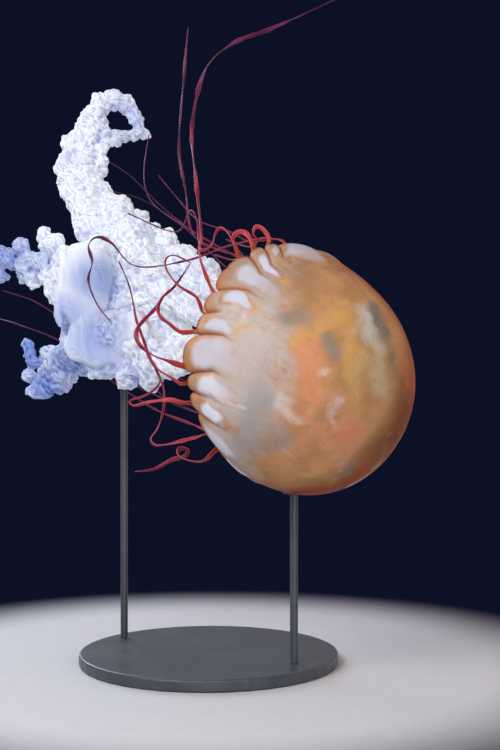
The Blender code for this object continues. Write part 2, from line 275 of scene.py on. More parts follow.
# %% Bell sizes
# Lengths are in millimetres, and spans and angles are in degrees.
BELL_CENTRE = np.array([87.0, -60.0, 295.0])
BELL_RADIUS = 118.0
BELL_HEIGHT = 122.0
BELL_TURN = radians(40)
BELL_DIP = radians(25)
UPPER = np.array([np.sin(BELL_DIP), 0.0, np.cos(BELL_DIP)])
LEVEL = np.array([np.cos(BELL_DIP), 0.0, -np.sin(BELL_DIP)])
AXIS = np.cos(BELL_TURN) * LEVEL - np.array([0.0, np.sin(BELL_TURN), 0.0])
NEARER = np.cross(AXIS, UPPER)
APEX_WALL = 14.0
MARGIN_WALL = 2.2
MARGIN_SHIFT = 10.0 * NEARER + 14.0 * UPPER
MARGIN_SLANT = 12.0
MARGIN_SLANT_AT = 258.0
LEAN_SPAN = (35, 105)  # down from the apex, where the bell's lean comes in
MARGIN_CURL = 3.0
CURL_SPAN = (88, 112)
DENT = 8.0
DENT_AT = 108.0
DENT_SPREAD = 30.0
DENT_SPAN = (55, 95)
LAPPETS = 32
LAPPET_SPAN = 360.0 / LAPPETS
NOTCH_ANGLE = 105.0
LAPPET_ANGLE = 7.3
FIRST_NOTCH = -16.0
NOTCH_DRIFT = 2.5
BAYS = 8
CANALS = 16  # the paths of digestion, which radiate under the jelly
CANAL_WIDTH = 2.2  # degrees round the bell


def wrapped(phi):
    """The same angle, from -180 up to 180 degrees."""
    return (phi + 180) % 360 - 180


def around(phi):
    """The way out from the bell's axis at an angle round it, 0 on the viewer's side."""
    phi = np.radians(phi)[..., None]
    return np.cos(phi) * NEARER + np.sin(phi) * UPPER


def bell_points(theta, phi, out=0.0):
    """Points of the bell, out from its outer face, in millimetres."""
    theta, phi, out = np.broadcast_arrays(*(np.asarray(v, float) for v in (theta, phi, out)))
    turn = np.radians(theta)
    out = out - DENT * hump(wrapped(phi - DENT_AT) / DENT_SPREAD) * smooth_step(theta, *DENT_SPAN)
    across = np.sin(turn) / BELL_RADIUS
    along = np.cos(turn) / BELL_HEIGHT
    size = np.hypot(across, along)
    curl = MARGIN_CURL * smooth_step(theta, *CURL_SPAN)
    radius = BELL_RADIUS * np.sin(turn) - curl + out * across / size
    height = BELL_HEIGHT * np.cos(turn) + out * along / size
    lean = smooth_step(theta, *LEAN_SPAN)
    height = height + lean * MARGIN_SLANT * np.cos(np.radians(phi - MARGIN_SLANT_AT))
    points = BELL_CENTRE + radius[..., None] * around(phi) + height[..., None] * AXIS
    return points + lean[..., None] * MARGIN_SHIFT


def middle_of_bell(height):
    """A point on the leaning axis, so far from the centre of the bell."""
    theta = np.degrees(np.arccos(height / BELL_HEIGHT))
    return BELL_CENTRE + height * AXIS + smooth_step(theta, *LEAN_SPAN) * MARGIN_SHIFT


def wall(theta):
    """How thick the jelly is."""
    return APEX_WALL + (MARGIN_WALL - APEX_WALL) * smooth_step(theta, 20, 98)


def strayed(place):
    """The angle round the bell of an even place on its margin."""
    return place - NOTCH_DRIFT * np.cos(np.radians(4 * np.asarray(place, float)))


print("apex at", bell_points(0, 0).round(), "mm")

# %% [markdown]
# ## The margin's lappets
#
# A sea nettle's margin is cut into 32 flaps, or lappets. Eight notches hold sense
# organs and the other 24 each hold a tentacle. The two lappets beside a sense organ
# read as one broad flap, so the margin is made of 24 cushions: 16 narrow ones and
# eight broad. They could be sculpted one by one, but a rule with a few moods, some
# long and some turned in, gives the same liveliness and stays easy to change.

# %% Cushions along the margin
MARGIN_DICE = np.random.default_rng(24)
CUSHION_HEIGHT = 3.0
GROOVE_DEPTH = 1.3
GROOVE_WIDTH = 0.8  # degrees round the bell
# How much the grooves lean: degrees round the bell for each degree up from the margin.
ASKEW_AT = (-100, -73, -47, -36, -26, -7, 4, 17, 30, 43, 54, 64, 83, 100)
ASKEW = (0.0, 0.20, 0.15, 0.28, 0.50, 0.33, 0.30, 0.35, -0.10, -0.60, -0.80, -0.90, -0.40, 0.0)
ASKEW_REACH = 16.0
# Moods by half spans from the first notch: how long the flap is, how white and how
# strongly outlined its cushion is, where that starts and stops, how far it runs on
# inland, how far it sits aside of the middle, and how much of the flap's breadth it fills.
MOODS = {
    0: (1.35, 0.80, 0.15, 84, 107, 0.9, 0.0, 0.9),
    3: (0.30, 1.00, 0.60, 84, 101, 0.1, -0.25, 0.62),
    5: (0.45, 1.00, 0.95, 82, 98, 0.0, 0.16, 0.58),
    8: (0.80, 0.75, 0.15, 82, 101, 1.0, 0.1, 0.76),
    11: (0.40, 1.00, 1.00, 81, 99, 0.0, 0.0, 0.66),
    13: (0.55, 0.55, 0.50, 90, 99, 0.0, 0.1, 0.6),
    16: (0.90, 0.60, 0.60, 82, 100, 0.4, 0.0, 0.86),
    61: (0.45, 0.80, 0.10, 82, 99, 0.9, 0.0, 0.76),
    59: (0.35, 1.00, 0.50, 81, 97, 0.0, 0.0, 0.70),
    56: (0.10, 1.00, 0.20, 84, 101, 0.4, 0.0, 0.80),
    53: (0.10, 1.00, 0.30, 84, 99, 0.4, 0.0, 0.76),
    51: (0.15, 0.90, 0.30, 84, 100, 0.5, 0.0, 0.76),
}
# All other moods are drawn between a lowest and a highest.
MOOD_LIMITS = (
    (0.45, 0.5, 0.3, 81, 97, 0.0, -0.2, 0.65),
    (1.0, 1.0, 0.9, 86, 103, 0.8, 0.2, 0.85),
)
# How far up the bell each tentacle's groove runs, in degrees from its notch.
GROOVES = {1: 24, 2: 12, 3: 27, 5: 21, 6: 20, 7: 20, 31: 24, 30: 10, 29: 21, 27: 14, 26: 14}


def spans_along(place):
    """How many lappets' breadths lie between the first notch and a place."""
    return ((place - FIRST_NOTCH) / LAPPET_SPAN) % LAPPETS


def cushion_of(place):
    """Where along the margin: the cushion's key, and -1 to 1 from its one notch to the other."""
    spans = spans_along(place)
    cell = np.floor(spans + 1e-9)
    order = cell % 4
    broad = (order == 0) | (order == 3)
    middle = np.where(broad, np.where(order == 0, cell, cell + 1), cell + 0.5)
    across = (spans - middle) / np.where(broad, 1.0, 0.5)
    return np.round(2 * middle).astype(int) % (2 * LAPPETS), across, broad


def mood_table():
    """A mood for every half span, listed or drawn."""
    random_moods = MARGIN_DICE.uniform(*MOOD_LIMITS, (2 * LAPPETS, len(MOOD_LIMITS[0])))
    return np.array([MOODS.get(key, random_moods[key]) for key in range(2 * LAPPETS)])


def groove_table():
    """How far each notch's groove runs; the sense organs, one notch in four, have none."""
    lengths = MARGIN_DICE.uniform(13, 24, LAPPETS)
    lengths[list(GROOVES)] = list(GROOVES.values())
    lengths[::4] = 0
    return lengths


mood = mood_table()
groove_length = groove_table()
print("24 cushions, lengths", mood[:, 0].min().round(2), "to", mood[:, 0].max().round(2))

# %% The edge, and the relief above it
SQUARENESS = 2.4  # of a lappet and of its cushion: 2 is an oval, and more is boxier
DIMPLE = 0.22  # how deep a sense organ's notch cuts, as a share of its lappets


def edge_angle(place):
    """The angle down from the apex at which the margin ends."""
    key, across, broad = cushion_of(place)
    length = mood[key, 0]
    arch = np.sqrt(np.clip(1 - np.abs(across) ** SQUARENESS, 0, 1))
    dimple = np.where(broad & (key > 0), DIMPLE * hump(across / 0.1), 0)
    return NOTCH_ANGLE - 1.5 * (1 - arch) + LAPPET_ANGLE * length * (arch - dimple)


def groove_share(theta, place, width):
    """1 along the bottom of a tentacle's groove, falling off to each side."""
    spans = spans_along(place)
    notch = np.round(spans).astype(int) % LAPPETS
    apart = (spans - np.round(spans)) * LAPPET_SPAN
    reach = groove_length[notch]
    inner = NOTCH_ANGLE - reach
    along = smooth_step(theta, inner - 1, inner + 0.5 * reach + 0.01)
    wide = width * (0.5 + 0.7 * smooth_step(theta, inner, NOTCH_ANGLE))
    return np.where(reach > 0, along * hump(apart / wide), 0)


def cushion_masks(theta, place):
    """The cushion's swell, its white middle, its outline and the gold at its inland end."""
    key, across, broad = cushion_of(place)
    _, white, outline, inner, outer, run_on, aside, breadth = mood[key].transpose(2, 0, 1)
    edge = edge_angle(place)
    swell = smooth_step(theta, inner - 7, inner + 4) * (1 - np.abs(across) ** 3)
    outer = np.minimum(outer, edge - 3)
    middle = (inner + outer) / 2
    reach = np.maximum((outer - inner) / 2, 2)
    # Each cushion wavers in its own way, by its key.
    wander = np.sin(0.42 * theta + 0.9 * key) + 0.6 * np.sin(0.95 * theta - 1.7 * key)
    bent = across - aside + 0.07 * wander
    rise = middle - theta + 0.7 * np.sin(4.5 * across + key)
    inland = np.maximum(rise, 0) / (1 + 1.1 * run_on)
    seaward = np.maximum(-rise, 0)
    taper = 1 - 0.42 * (1 - run_on) * smooth_step(rise / reach, -0.4, 1.3)
    lengthwise = ((inland + seaward) / reach) ** SQUARENESS
    oval = lengthwise + np.abs(bent / (breadth * taper)) ** SQUARENESS
    oval = oval ** (1 / SQUARENESS)
    fade = 1 - run_on * smooth_step(rise, 0, 1.6 * reach)
    pearl = white * (1 - smooth_step(oval, 0.58, 1.1)) * (0.35 + 0.65 * fade)
    uneven = 0.6 + 0.4 * np.sin(1.3 * key + 2 * np.arctan2(bent, rise / reach))
    ring = hump((oval - 1.1) / 0.13) * fade * outline * uneven
    tail = hump((rise / reach - 1.25) / 0.34) * hump(bent / 0.5) * outline
    return swell, pearl, ring, tail


def askew(theta, phi):
    """The grooves near the viewer run askew, so the whole skin's columns do there."""
    rise = np.clip(NOTCH_ANGLE - theta, -8, ASKEW_REACH)
    return np.interp(phi, ASKEW_AT, ASKEW) * rise * smooth_step(theta, 5, 60)


edges = edge_angle(np.arange(0, 360, 0.5))
print("the margin ends between", edges.min().round(1), "and", edges.max().round(1), "degrees")

# %% [markdown]
# ## Marks on the bell
#
# Gold, peach, slate and white patches show through the jelly. Each is a soft stroke
# between places on the bell, laid down like watercolour on wet paper, and a slow
# drift bends its edges. An image would be simpler to paint, but strokes keep the
# pattern editable, and they wrap round the bell without a seam.

# %% Strokes of pigment
# Each stroke: its radius in millimetres, its strength, and the places it runs through,
# as theta and phi.
STROKES = {
    "milk": [(26, 1.0, (96, 45), (90, 20), (88, -10), (86, -40), (84, -62)),
        (25, 0.9, (78, 20), (72, 8), (70, -8), (68, -24)), (17, 0.55, (62, 2), (58, -10))],
    "grey": [(15, 0.9, (63, -22), (66, -34), (70, -46)), (9, 0.8, (54, -34), (50, -42)),
        (10, 0.35, (66, -2), (64, -14))],
    "slate": [(9, 1.0, (63, 28), (68, 21)), (8.5, 0.9, (50, 29), (44, 27)),
        (10, 0.7, (26, -84), (31, -90)), (6, 0.45, (36, -18), (31, -22)),
        (9, 0.6, (60, -46), (54, -40))],
    "olive": [(13, 0.8, (36, 44), (31, 34), (33, 20)), (9, 0.9, (30, 74), (24, 62)),
        (12, 0.6, (72, 44), (66, 38)), (7, 0.6, (45, 36), (52, 33)),
        (12, 0.5, (48, -74), (40, -84))],
    "gold": [(6, 1.0, (59, 15), (55, 28.5), (54, 43), (57, 56)), (9, 0.4, (60, 24), (61, 44)),
        (6, 0.75, (54, 46), (46, 45), (37, 32)), (10, 0.45, (58, 66), (52, 68)),
        (9, 0.7, (38, 38), (30, 24)), (9, 0.5, (34, 30), (24, 8)),
        (5, 0.6, (45, -68), (36, -63.5), (28, -51)), (9, 0.45, (44, -66), (38, -84)),
        (5.5, 0.8, (99, 55), (90, 47), (85, 46)), (5, 0.8, (83, 6), (79, 8))],
    "peach": [(9.5, 1.0, (52, 18), (48, 8), (42, -2)), (7, 0.5, (56, 12), (50, 4)),
        (6, 0.8, (41, -20), (44, -9)), (12, 0.9, (24, -32), (22, -44), (28, -58)),
        (9, 0.8, (32, -34), (28, -26)), (8, 0.7, (44, -24), (38, -30), (30, -36)),
        (9, 0.7, (20, -24), (18, -50)), (13, 0.45, (46, -46), (42, -60))],
    "ember": [(6, 0.5, (47, 3), (43, -4)), (8, 0.6, (23, -40), (20, -30)),
        (9, 0.5, (30, 92), (20, 130))],
    "lens": [(10.5, 1.0, (50, 66), (43, 63), (36, 61)), (5, 0.5, (52, 56), (46, 50))],
    "beige": [(11, 1.0, (34, 58), (28, 55), (19, 44)), (7, 0.4, (34, 40), (26, 22), (30, 8))],
    "shade": [(9, 1.0, (52, 76), (47, 74), (41, 75)), (6, 0.6, (32, 80), (24, 84))],
    "white": [(6, 0.8, (55, -17), (50, -19), (47, -22)), (3.4, 0.5, (55, -12), (51, -16)),
        (4.2, 0.7, (43.5, 11.5), (43, 10)), (4.6, 0.6, (33, -2), (30, -8)),
        (4.4, 0.5, (30, -14), (28, -24)), (3.4, 0.4, (47, -19), (42, -23)),
        (4.2, 0.8, (98, 6), (90, 9), (83, 11)), (4.5, 0.9, (91, 57), (86, 53)),
        (1.8, 0.8, (90, -31), (80, -29), (70, -27)), (1.6, 0.3, (31, -56), (26, -64), (30, -76)),
        (1.6, 0.3, (52, -44), (46, -54)), (1.1, 1.0, (56, -38), (56, -38.4)),
        (1.0, 0.9, (71.5, 27.5), (71.3, 27.6))],
    "ochre": [(9.5, 1.0, (109, 21), (104, 25)), (1.6, 0.8, (98, 57), (92, 55), (84, 48)),
        (4.2, 0.7, (78, -25), (76, -26)), (3, 0.7, (90, 64), (86, 62)),
        (4, 0.5, (84, 66), (88, 76)), (4, 0.4, (98, 14), (92, 12)),
        (6, 0.8, (80, -41), (76, -43)), (4, 0.9, (98, -34), (94, -34))],
    "plum": [(3.6, 0.8, (81, 50), (79, 60), (74, 68)), (3, 0.5, (85, 38), (81, 36))],
    "brown": [(22, 0.9, (12, -110), (20, -140)), (16, 0.6, (20, 100), (18, 170)),
        (12, 0.6, (34, -100), (44, -104))],
}
# How many more of them are scattered over the far side.
BACK_STROKES = {"grey": 3, "slate": 4, "olive": 5, "gold": 6, "peach": 6, "ember": 3, "white": 9}
DRIFT = ((31.0, 3.4), (12.0, 1.3), (5.0, 0.5))  # the length and size of its waves
DRIFT_WAVES = 5
FINE_STROKE = 3.0  # millimetres: under this a stroke keeps its place and a firm edge
FIRM_EDGE = (0.3, 1.7)  # where a stroke starts to fade and where it ends, in its radii
SOFT_EDGE = (-0.2, 2.1)


def drifted(points):
    """Points pushed about by slow waves, so that a stroke's edge wanders."""
    dice = np.random.default_rng(11)
    moved = points.copy()
    for length, size in DRIFT:
        for _ in range(DRIFT_WAVES):
            way, push = unit(dice.normal(size=(2, 3)))
            swing = points @ way * (2 * pi / length) + dice.uniform(0, 2 * pi)
            moved += np.sin(swing)[:, None] * push * size / np.sqrt(DRIFT_WAVES / 2)
    return moved


def away_from(points, places):
    """The distance to the line through some places on the bell."""
    line = [bell_points(*place) for place in places]
    nearest = np.full(len(points), np.inf)
    for start, end in zip(line, line[1:]):
        run = end - start
        share = np.clip((points - start) @ run / (run @ run), 0, 1)
        away = np.linalg.norm(points - start - share[:, None] * run, axis=1)
        nearest = np.minimum(nearest, away)
    return nearest


def back_strokes(count, dice):
    """Strokes for the far side, scattered by the same kind of rule."""
    strokes = []
    for _ in range(count):
        theta, phi = dice.uniform(24, 84), dice.uniform(125, 240)
        turn = dice.uniform(0, 2 * pi)
        end = (theta + 12 * np.cos(turn), phi + 14 * np.sin(turn))
        strokes.append((dice.uniform(3, 10), dice.uniform(0.4, 0.9), (theta, phi), end))
    return strokes


def stroke_masks(grid):
    """How much of each pigment lies at each point of a grid."""
    points = grid.reshape(-1, 3)
    dice = np.random.default_rng(7)
    wandering = drifted(points)
    masks = {}
    for pigment, strokes in STROKES.items():
        bare = np.ones(len(points))
        far_side = back_strokes(BACK_STROKES.get(pigment, 0), dice)
        for radius, strength, *places in strokes + far_side:
            fine = radius < FINE_STROKE
            reach = away_from(points if fine else wandering, places) / radius
            faded = smooth_step(reach, *(FIRM_EDGE if fine else SOFT_EDGE))
            bare *= 1 - strength * (1 - faded)
        masks[pigment] = (1 - bare).reshape(grid.shape[:2])
    return masks


# %% The bell's skin, outside, round the lip and inside
BELL_COLUMNS = 600
RIM_START = 76.0
LIP_BULGE = 0.55  # degrees


def bell_rows():
    """Rows from the outer apex over the margin to the inner apex: their kind and how far."""
    outer = [("outer", theta) for theta in np.linspace(0.8, RIM_START, 56)]
    rim = [("rim", share) for share in np.linspace(0, 1, 52)[1:]]
    lip = [("lip", turn) for turn in (30, 60, 90, 120, 150)]
    under = [("under", share) for share in np.linspace(1, 0, 14)]
    inner = [("inner", theta) for theta in np.linspace(RIM_START, 1.5, 28)[1:]]
    return outer + rim + lip + under + inner


def bell_row(kind, value, place):
    """The angle, the height over the frame's outer face, and whether it is the inside."""
    edge = edge_angle(place)
    if kind in ("outer", "inner"):
        theta = np.full_like(place, value)
    elif kind == "lip":
        theta = edge + LIP_BULGE * np.sin(radians(value))
    else:
        theta = RIM_START + (edge - RIM_START) * value
    swell = cushion_masks(theta[None], place[None])[0][0]
    groove = groove_share(theta, place, GROOVE_WIDTH)
    relief = CUSHION_HEIGHT * (swell - 0.25) * smooth_step(theta, RIM_START, 90)
    relief = relief - GROOVE_DEPTH * groove
    under = -wall(theta) + 0.5 * np.cos(np.radians(CANALS * place)) * smooth_step(theta, 95, 60)
    if kind in ("outer", "rim"):
        return theta, relief, 0.0
    if kind == "lip":
        turned = (1 - np.cos(radians(value))) / 2
        return theta, relief * (1 - turned) + under * turned, turned
    return theta, under, 1.0


TUCK = 3.0  # the skin lies this much further in, low on the margin near the viewer
TUCK_AT = -64.0
TUCK_SPREAD = 20.0


def make_bell_grid():
    """The skin's places along the margin, its angles, its heights, and how far it is inside."""
    place = FIRST_NOTCH + 360 * np.arange(BELL_COLUMNS) / BELL_COLUMNS
    rows = [bell_row(kind, value, place) for kind, value in bell_rows()]
    theta = np.array([row[0] for row in rows])
    out = np.array([row[1] for row in rows])
    inside = np.repeat([[np.mean(row[2])] for row in rows], BELL_COLUMNS, axis=1)
    phi = strayed(place)[None] + askew(theta, wrapped(strayed(place))[None])
    tuck = hump((wrapped(phi) - TUCK_AT) / TUCK_SPREAD) * smooth_step(theta, 72, 98)
    out = out - TUCK * tuck
    return place, theta, phi, out, inside


place, theta, phi, out, inside = make_bell_grid()
bell_grid = bell_points(theta, phi, out)
places = np.broadcast_to(place, theta.shape)
_, pearl, ring, tail = cushion_masks(theta, places)
print("bell skin", theta.shape, "points; lowest", (bell_grid[..., 2].min()).round(1), "mm")

# %% [markdown]
# ## The bell's finish
#
# Living jelly is wet, milky and full of soft colour. The finish lays a tan ground that
# turns to a dark rust where the jelly is seen edge on, less so on the far side: partly the
# pigment that deepens towards the apex, partly painted shade, which reaches further in low
# on the right. It then washes the strokes over it one pigment at a time, each broken up
# by noise, and the cushions low on the bell get a brighter white, a painted light.
# Grooves, outlines and the rim are ochre. A little light spreads under the surface, and
# a thin coat gives the wet gloss. Those last numbers are the same all over, so they are
# set on the shader itself.

# %% Bell finish
JELLY = {
    "Roughness": 0.42,
    "Specular IOR Level": 0.05,
    "Subsurface Weight": 0.35,
    "Subsurface Radius": (1.0, 0.45, 0.25),
    "Subsurface Scale": 0.012,
    "Coat Weight": 0.025,
    "Coat Roughness": 0.2,
}
# Each pigment's colour, and how strongly it covers.
PIGMENTS = {
    "milk": ((184, 174, 170), 0.95),
    "grey": ((150, 146, 148), 0.75),
    "slate": ((124, 122, 120), 0.75),
    "olive": ((150, 122, 76), 0.7),
    "gold": ((202, 156, 92), 0.74),
    "peach": ((208, 142, 106), 0.85),
    "ember": ((204, 116, 72), 0.7),
    "lens": ((192, 188, 178), 0.9),
    "beige": ((192, 166, 130), 0.85),
    "shade": ((112, 108, 100), 0.85),
    "white": ((212, 202, 202), 0.62),
    "ochre": ((182, 110, 50), 0.9),
    "plum": ((150, 96, 84), 0.8),
    "brown": ((120, 78, 46), 0.75),
}
LOW_RIGHT = unit(np.array([0.75, 0, -0.66]))  # where the bell's painted edge shade starts further in


def bell_ground(finish, clouds):
    """Tan from the front, and a dark rust where the jelly is seen edge on: painted shade, with
    some of the bell's own pigment.
    """
    patches = finish.ramp(clouds, 0.3, 0.7)
    front = finish.mix(patches, (176, 124, 82), (196, 144, 100))
    edge_shade_tone = finish.mix(patches, (112, 34, 12), (158, 62, 24))
    return finish.mix(finish.number("rust_and_edge_shade"), front, edge_shade_tone)


def bell_finish():
    finish = Finish("bell_jelly", JELLY)
    number, ramp = finish.number, finish.ramp
    space = finish.place()
    clouds = finish.noise(space, 34, 5, 0.55, 0.6)
    wisps = finish.noise(space, 95, 5, 0.65, 1.2)
    flecks = finish.noise(space, 300, 3, 0.6)
    rays = finish.noise(finish.place("rays"), 1.0, 3, 0.6)
    fine_rays = finish.noise(finish.place("fine_rays"), 1.0, 2, 0.6)
    broken = (clouds - 0.5) * 0.6 + (wisps - 0.5) * 0.6 + (rays - 0.5) * 0.4
    tone = bell_ground(finish, clouds)
    for pigment, (shade, strength) in PIGMENTS.items():
        torn = number(pigment) * (1 + broken * 1.9)
        tone = finish.mix(ramp(torn, 0.0, 1.0) * strength, tone, shade)
    gold = finish.mix(ramp(wisps, 0.35, 0.65), (164, 98, 48), (200, 140, 78))
    tone = finish.washed(
        tone,
        (number("crown") * 0.55, (134, 108, 88)),
        (ramp(rays, 0.52, 0.76) * number("streaks") * 0.13, (232, 220, 210)),
        (ramp(fine_rays, 0.52, 0.8) * number("streaks") * 0.11, (176, 116, 76)),
        (ramp(wisps, 0.55, 0.78) * 0.22, (228, 202, 170)),
        (ramp(wisps, 0.45, 0.25) * 0.2, (118, 82, 52)),
        (ramp(wisps, 0.3, 0.6) * number("tail") * 0.6, (206, 154, 84)),
        # Painted light: the cushions' white is brighter on the lower part of the bell.
        (number("pearl"), finish.mix(number("low"), (194, 194, 212), (228, 228, 242))),
        (number("ring") * 0.7, gold),
        (number("rim") * 0.9, (156, 78, 38)),
        (number("flank") * 0.6, (186, 118, 66)),
        (number("core") * 0.92, (124, 50, 28)),
        (ramp(flecks, 0.5, 0.8) * 0.1, (150, 110, 80)),
    )
    canals = number("canal") * ramp(clouds, 0.2, 0.7, 0.5, 1.0)
    lining = finish.washed(
        (176, 116, 76),
        (ramp(rays, 0.35, 0.65), (214, 168, 132)),
        (canals * 0.8, (150, 70, 44)),
    )
    finish.set("Roughness", ramp(clouds, 0.2, 0.8, 0.4, 0.55))
    relief = clouds * 0.4 + rays * 0.3 + wisps * 0.2 + flecks * 0.1
    return finish.painted(finish.mix(number("inside"), tone, lining), relief, 0.0012, 0.3)


def bell_numbers():
    """What the finish reads at each point of the skin."""
    outward = unit(bell_grid - BELL_CENTRE)
    right, toward_viewer, up = outward[..., 0], -outward[..., 1], outward[..., 2]
    low_right = smooth_step(outward @ LOW_RIGHT, 0.3, 0.8)
    # Painted shade: dark where the surface turns from the camera, further in low on the right,
    # weaker on the far side.
    turned = smooth_step(toward_viewer, 0.54 + 0.26 * low_right, 0.16 + 0.24 * low_right)
    turned = turned * (1 - 0.5 * smooth_step(toward_viewer, -0.05, -0.55))
    edge = edge_angle(places)
    canal = hump(wrapped(phi * CANALS) / CANALS / CANAL_WIDTH) * smooth_step(theta, 12, 40)
    marks_outside = {
        "pearl": pearl,
        "ring": ring,
        "tail": tail,
        "flank": groove_share(theta, places, 2.4 * GROOVE_WIDTH),
        "core": groove_share(theta, places, 0.62 * GROOVE_WIDTH),
        **stroke_masks(bell_grid),
    }
    return {
        # The painted edge shade, deepened towards the apex where the pigment is.
        "rust_and_edge_shade": turned * (0.5 + 0.5 * smooth_step(theta, 88, 62)),
        "crown": smooth_step(up, 0.35, 0.85) * smooth_step(right, 0.45, -0.05),
        "streaks": smooth_step(theta, 50, 78) * (1 - 0.7 * pearl),
        # Where the cushions' white is painted brighter, a painted light.
        "low": smooth_step(wrapped(phi), -8, -30),
        "rim": smooth_step(theta, edge - 2.6, edge - 0.7) * (1 - 0.3 * pearl),
        "canal": canal * inside,
        "inside": inside,
        **{name: mask * (1 - inside) for name, mask in marks_outside.items()},
    }


def ray_vectors(turns, slope):
    """A place for noise that stretches it into rays from the apex."""
    angle = np.radians(phi)
    return np.stack([turns * np.cos(angle), turns * np.sin(angle), slope * theta], axis=-1)


vectors = {"rays": ray_vectors(13, 0.03), "fine_rays": ray_vectors(42, 0.05)}
bell_skin = add_tube("bell_skin", bell_grid, bell_finish(), bell_numbers(), vectors)
dress(bell_skin, "bell")

# %% [markdown]
# ## Smooth courses
#
# Arms and tentacles follow smooth lines through a few given points, as a
# modeller bends wire. Blender's curve objects could hold them, but the skins need
# the direction, the distance and the side at every step, so a short class reads them
# off a Catmull-Rom spline.

# %% Course
SPLINE_SAMPLES = 14


def spline(points):
    """Catmull-Rom: a curve that passes through every point."""
    points = [np.array(point, float) for point in points]
    line = []
    padded = [2 * points[0] - points[1], *points, 2 * points[-1] - points[-2]]
    for a, b, c, d in zip(padded, padded[1:], padded[2:], padded[3:]):
        for share in np.arange(SPLINE_SAMPLES) / SPLINE_SAMPLES:
            line.append(
                b
                + (c - a) * share / 2
                + (2 * a - 5 * b + 4 * c - d) * share**2 / 2
                + (3 * b - a - 3 * c + d) * share**3 / 2
            )
    line.append(points[-1])
    return np.array(line)


class Course:
    """A smooth line, read by the distance along it."""

    def __init__(self, points):
        self.line = spline(points)
        steps = np.linalg.norm(np.diff(self.line, axis=0), axis=1)
        self.at = np.concatenate([[0], np.cumsum(steps)])
        self.length = self.at[-1]
        self.marks = self.at[::SPLINE_SAMPLES]

    def points(self, distances):
        return np.stack([np.interp(distances, self.at, self.line[:, i]) for i in range(3)], -1)

    def ways(self, distances, reach=1.0):
        return unit(self.points(distances + reach) - self.points(distances - reach))


def sway(distances, length, phase):
    """A wave along a course, from -1 to 1."""
    return np.sin(2 * pi * distances / length + phase)


def carried(ways, start):
    """A side for each step of a line, carried along it without twisting."""
    sides = []
    side = start
    for way in ways:
        side = unit(side - side.dot(way) * way)
        sides.append(side)
    return np.array(sides)


# %% [markdown]
# ## Tentacles
#
# Twenty-four tentacles hang from the notches. Each is a flat, elastic ribbon, orange
# where it leaves the bell, then crimson, and maroon at its thread of a tip. A bevel on
# a curve would give each the same section all along. Here a ring of points is swept
# along the course instead, so the ribbon can swell, narrow and twist on its way.

# %% Tentacle courses
GAP = 0.3
ROOT_OVERLAP = 3.0
ROOT_WIDTH = 5.6
TENTACLE_FLATNESS = 0.5
# Listed courses: places right of, behind and above the bell's centre.
COURSES = {
    1: [(-110, -61, 46), (-121, -58, 54), (-130, -50, 61), (-133, -42, 70), (-129, -32, 81),
        (-121, -22, 90)],
    2: [(-95, -66, 79), (-113, -60, 91), (-124, -52, 106), (-125, -46, 117), (-117, -40, 121),
        (-101, -33, 114)],
    3: [(-90, -58, 111), (-93, -50, 127), (-91, -43, 140), (-97, -24, 195), (-102, 0, 254),
        (-89, 18, 315), (-60, 34, 346), (-19, 50, 366), (57, 78, 408)],
    4: [(-59, -34, 132), (-66, -34, 144), (-73, -31, 149), (-78, -25, 143), (-82, -20, 133),
        (-93, -10, 130), (-98, 30, 162), (-107, 60, 177), (-124, 90, 158), (-180, 138, 184)],
    5: [(-42, -16, 136), (-48, -14, 145), (-56, -8, 147), (-61, -3, 141), (-58, 4, 133),
        (-52, 14, 126), (-62, 42, 124), (-82, 70, 132)],
    6: [(-25, -6, 140), (-31, -6, 150), (-38, -2, 153), (-41, 6, 147), (-37, 15, 141),
        (-44, 50, 138), (-70, 92, 150)],
    7: [(-14, 16, 142), (-60, 60, 142), (-110, 92, 128), (-166, 100, 122), (-193, 95, 147),
        (-209, 98, 153), (-218, 100, 144), (-213, 93, 126), (-216, 84, 105), (-206, 78, 80),
        (-192, 82, 61)],
    8: [(-40, 80, 128), (-103, 130, 156), (-116, 150, 212), (-124, 165, 262), (-120, 180, 336),
        (-115, 195, 405)],
    9: [(-30, 120, 120), (-110, 190, 170), (-152, 214, 200), (-166, 228, 222), (-169, 236, 250),
        (-164, 246, 292)],
    20: [(-77, 9, -69), (-90, -4, -80), (-103, -12, -80), (-115, -8, -75), (-115, 1, -69),
         (-107, 7, -70), (-110, 16, -77), (-125, 22, -82), (-142, 26, -91), (-162, 30, -94)],
    21: [(-100, -21, -57), (-109, -28, -59), (-122, -30, -62), (-136, -26, -64), (-142, -19, -58),
         (-135, -14, -47), (-130, -4, -28), (-131, 6, -8), (-139, 16, 10), (-149, 26, 27)],
    22: [(-109, -38, -22), (-121, -42, -19), (-141, -38, -21), (-157, -34, -25), (-161, -27, -20),
         (-147, -22, -15), (-136, -16, -7), (-132, -10, 2)],
    23: [(-111, -54, -3), (-120, -56, 3), (-132, -48, 10), (-141, -38, 21), (-148, -30, 39),
         (-156, -18, 59), (-161, -5, 80), (-167, 8, 99), (-178, 25, 121)],
    24: [(-109, -54, 14), (-121, -57, 18), (-137, -52, 24), (-150, -48, 34), (-154, -44, 45),
         (-150, -38, 55), (-138, -26, 69), (-132, -15, 80), (-119, -9, 93), (-103, -8, 116)],
}
TRAIL_REACH = (300.0, 440.0)  # the shortest and the longest trailing tentacle
TRAIL_SPREAD = 30.0
TRAIL_LIFT = 0.14  # how much more steeply than the bell's axis they rise
TRAIL_WAVE = 16.0


def tentacle_phi(number):
    """Where a tentacle's notch lies round the bell: three to each of the eight bays."""
    bay, order = divmod(number - 1, 3)
    return float(strayed(FIRST_NOTCH + 360 / BAYS * bay + LAPPET_SPAN * (order + 1)))


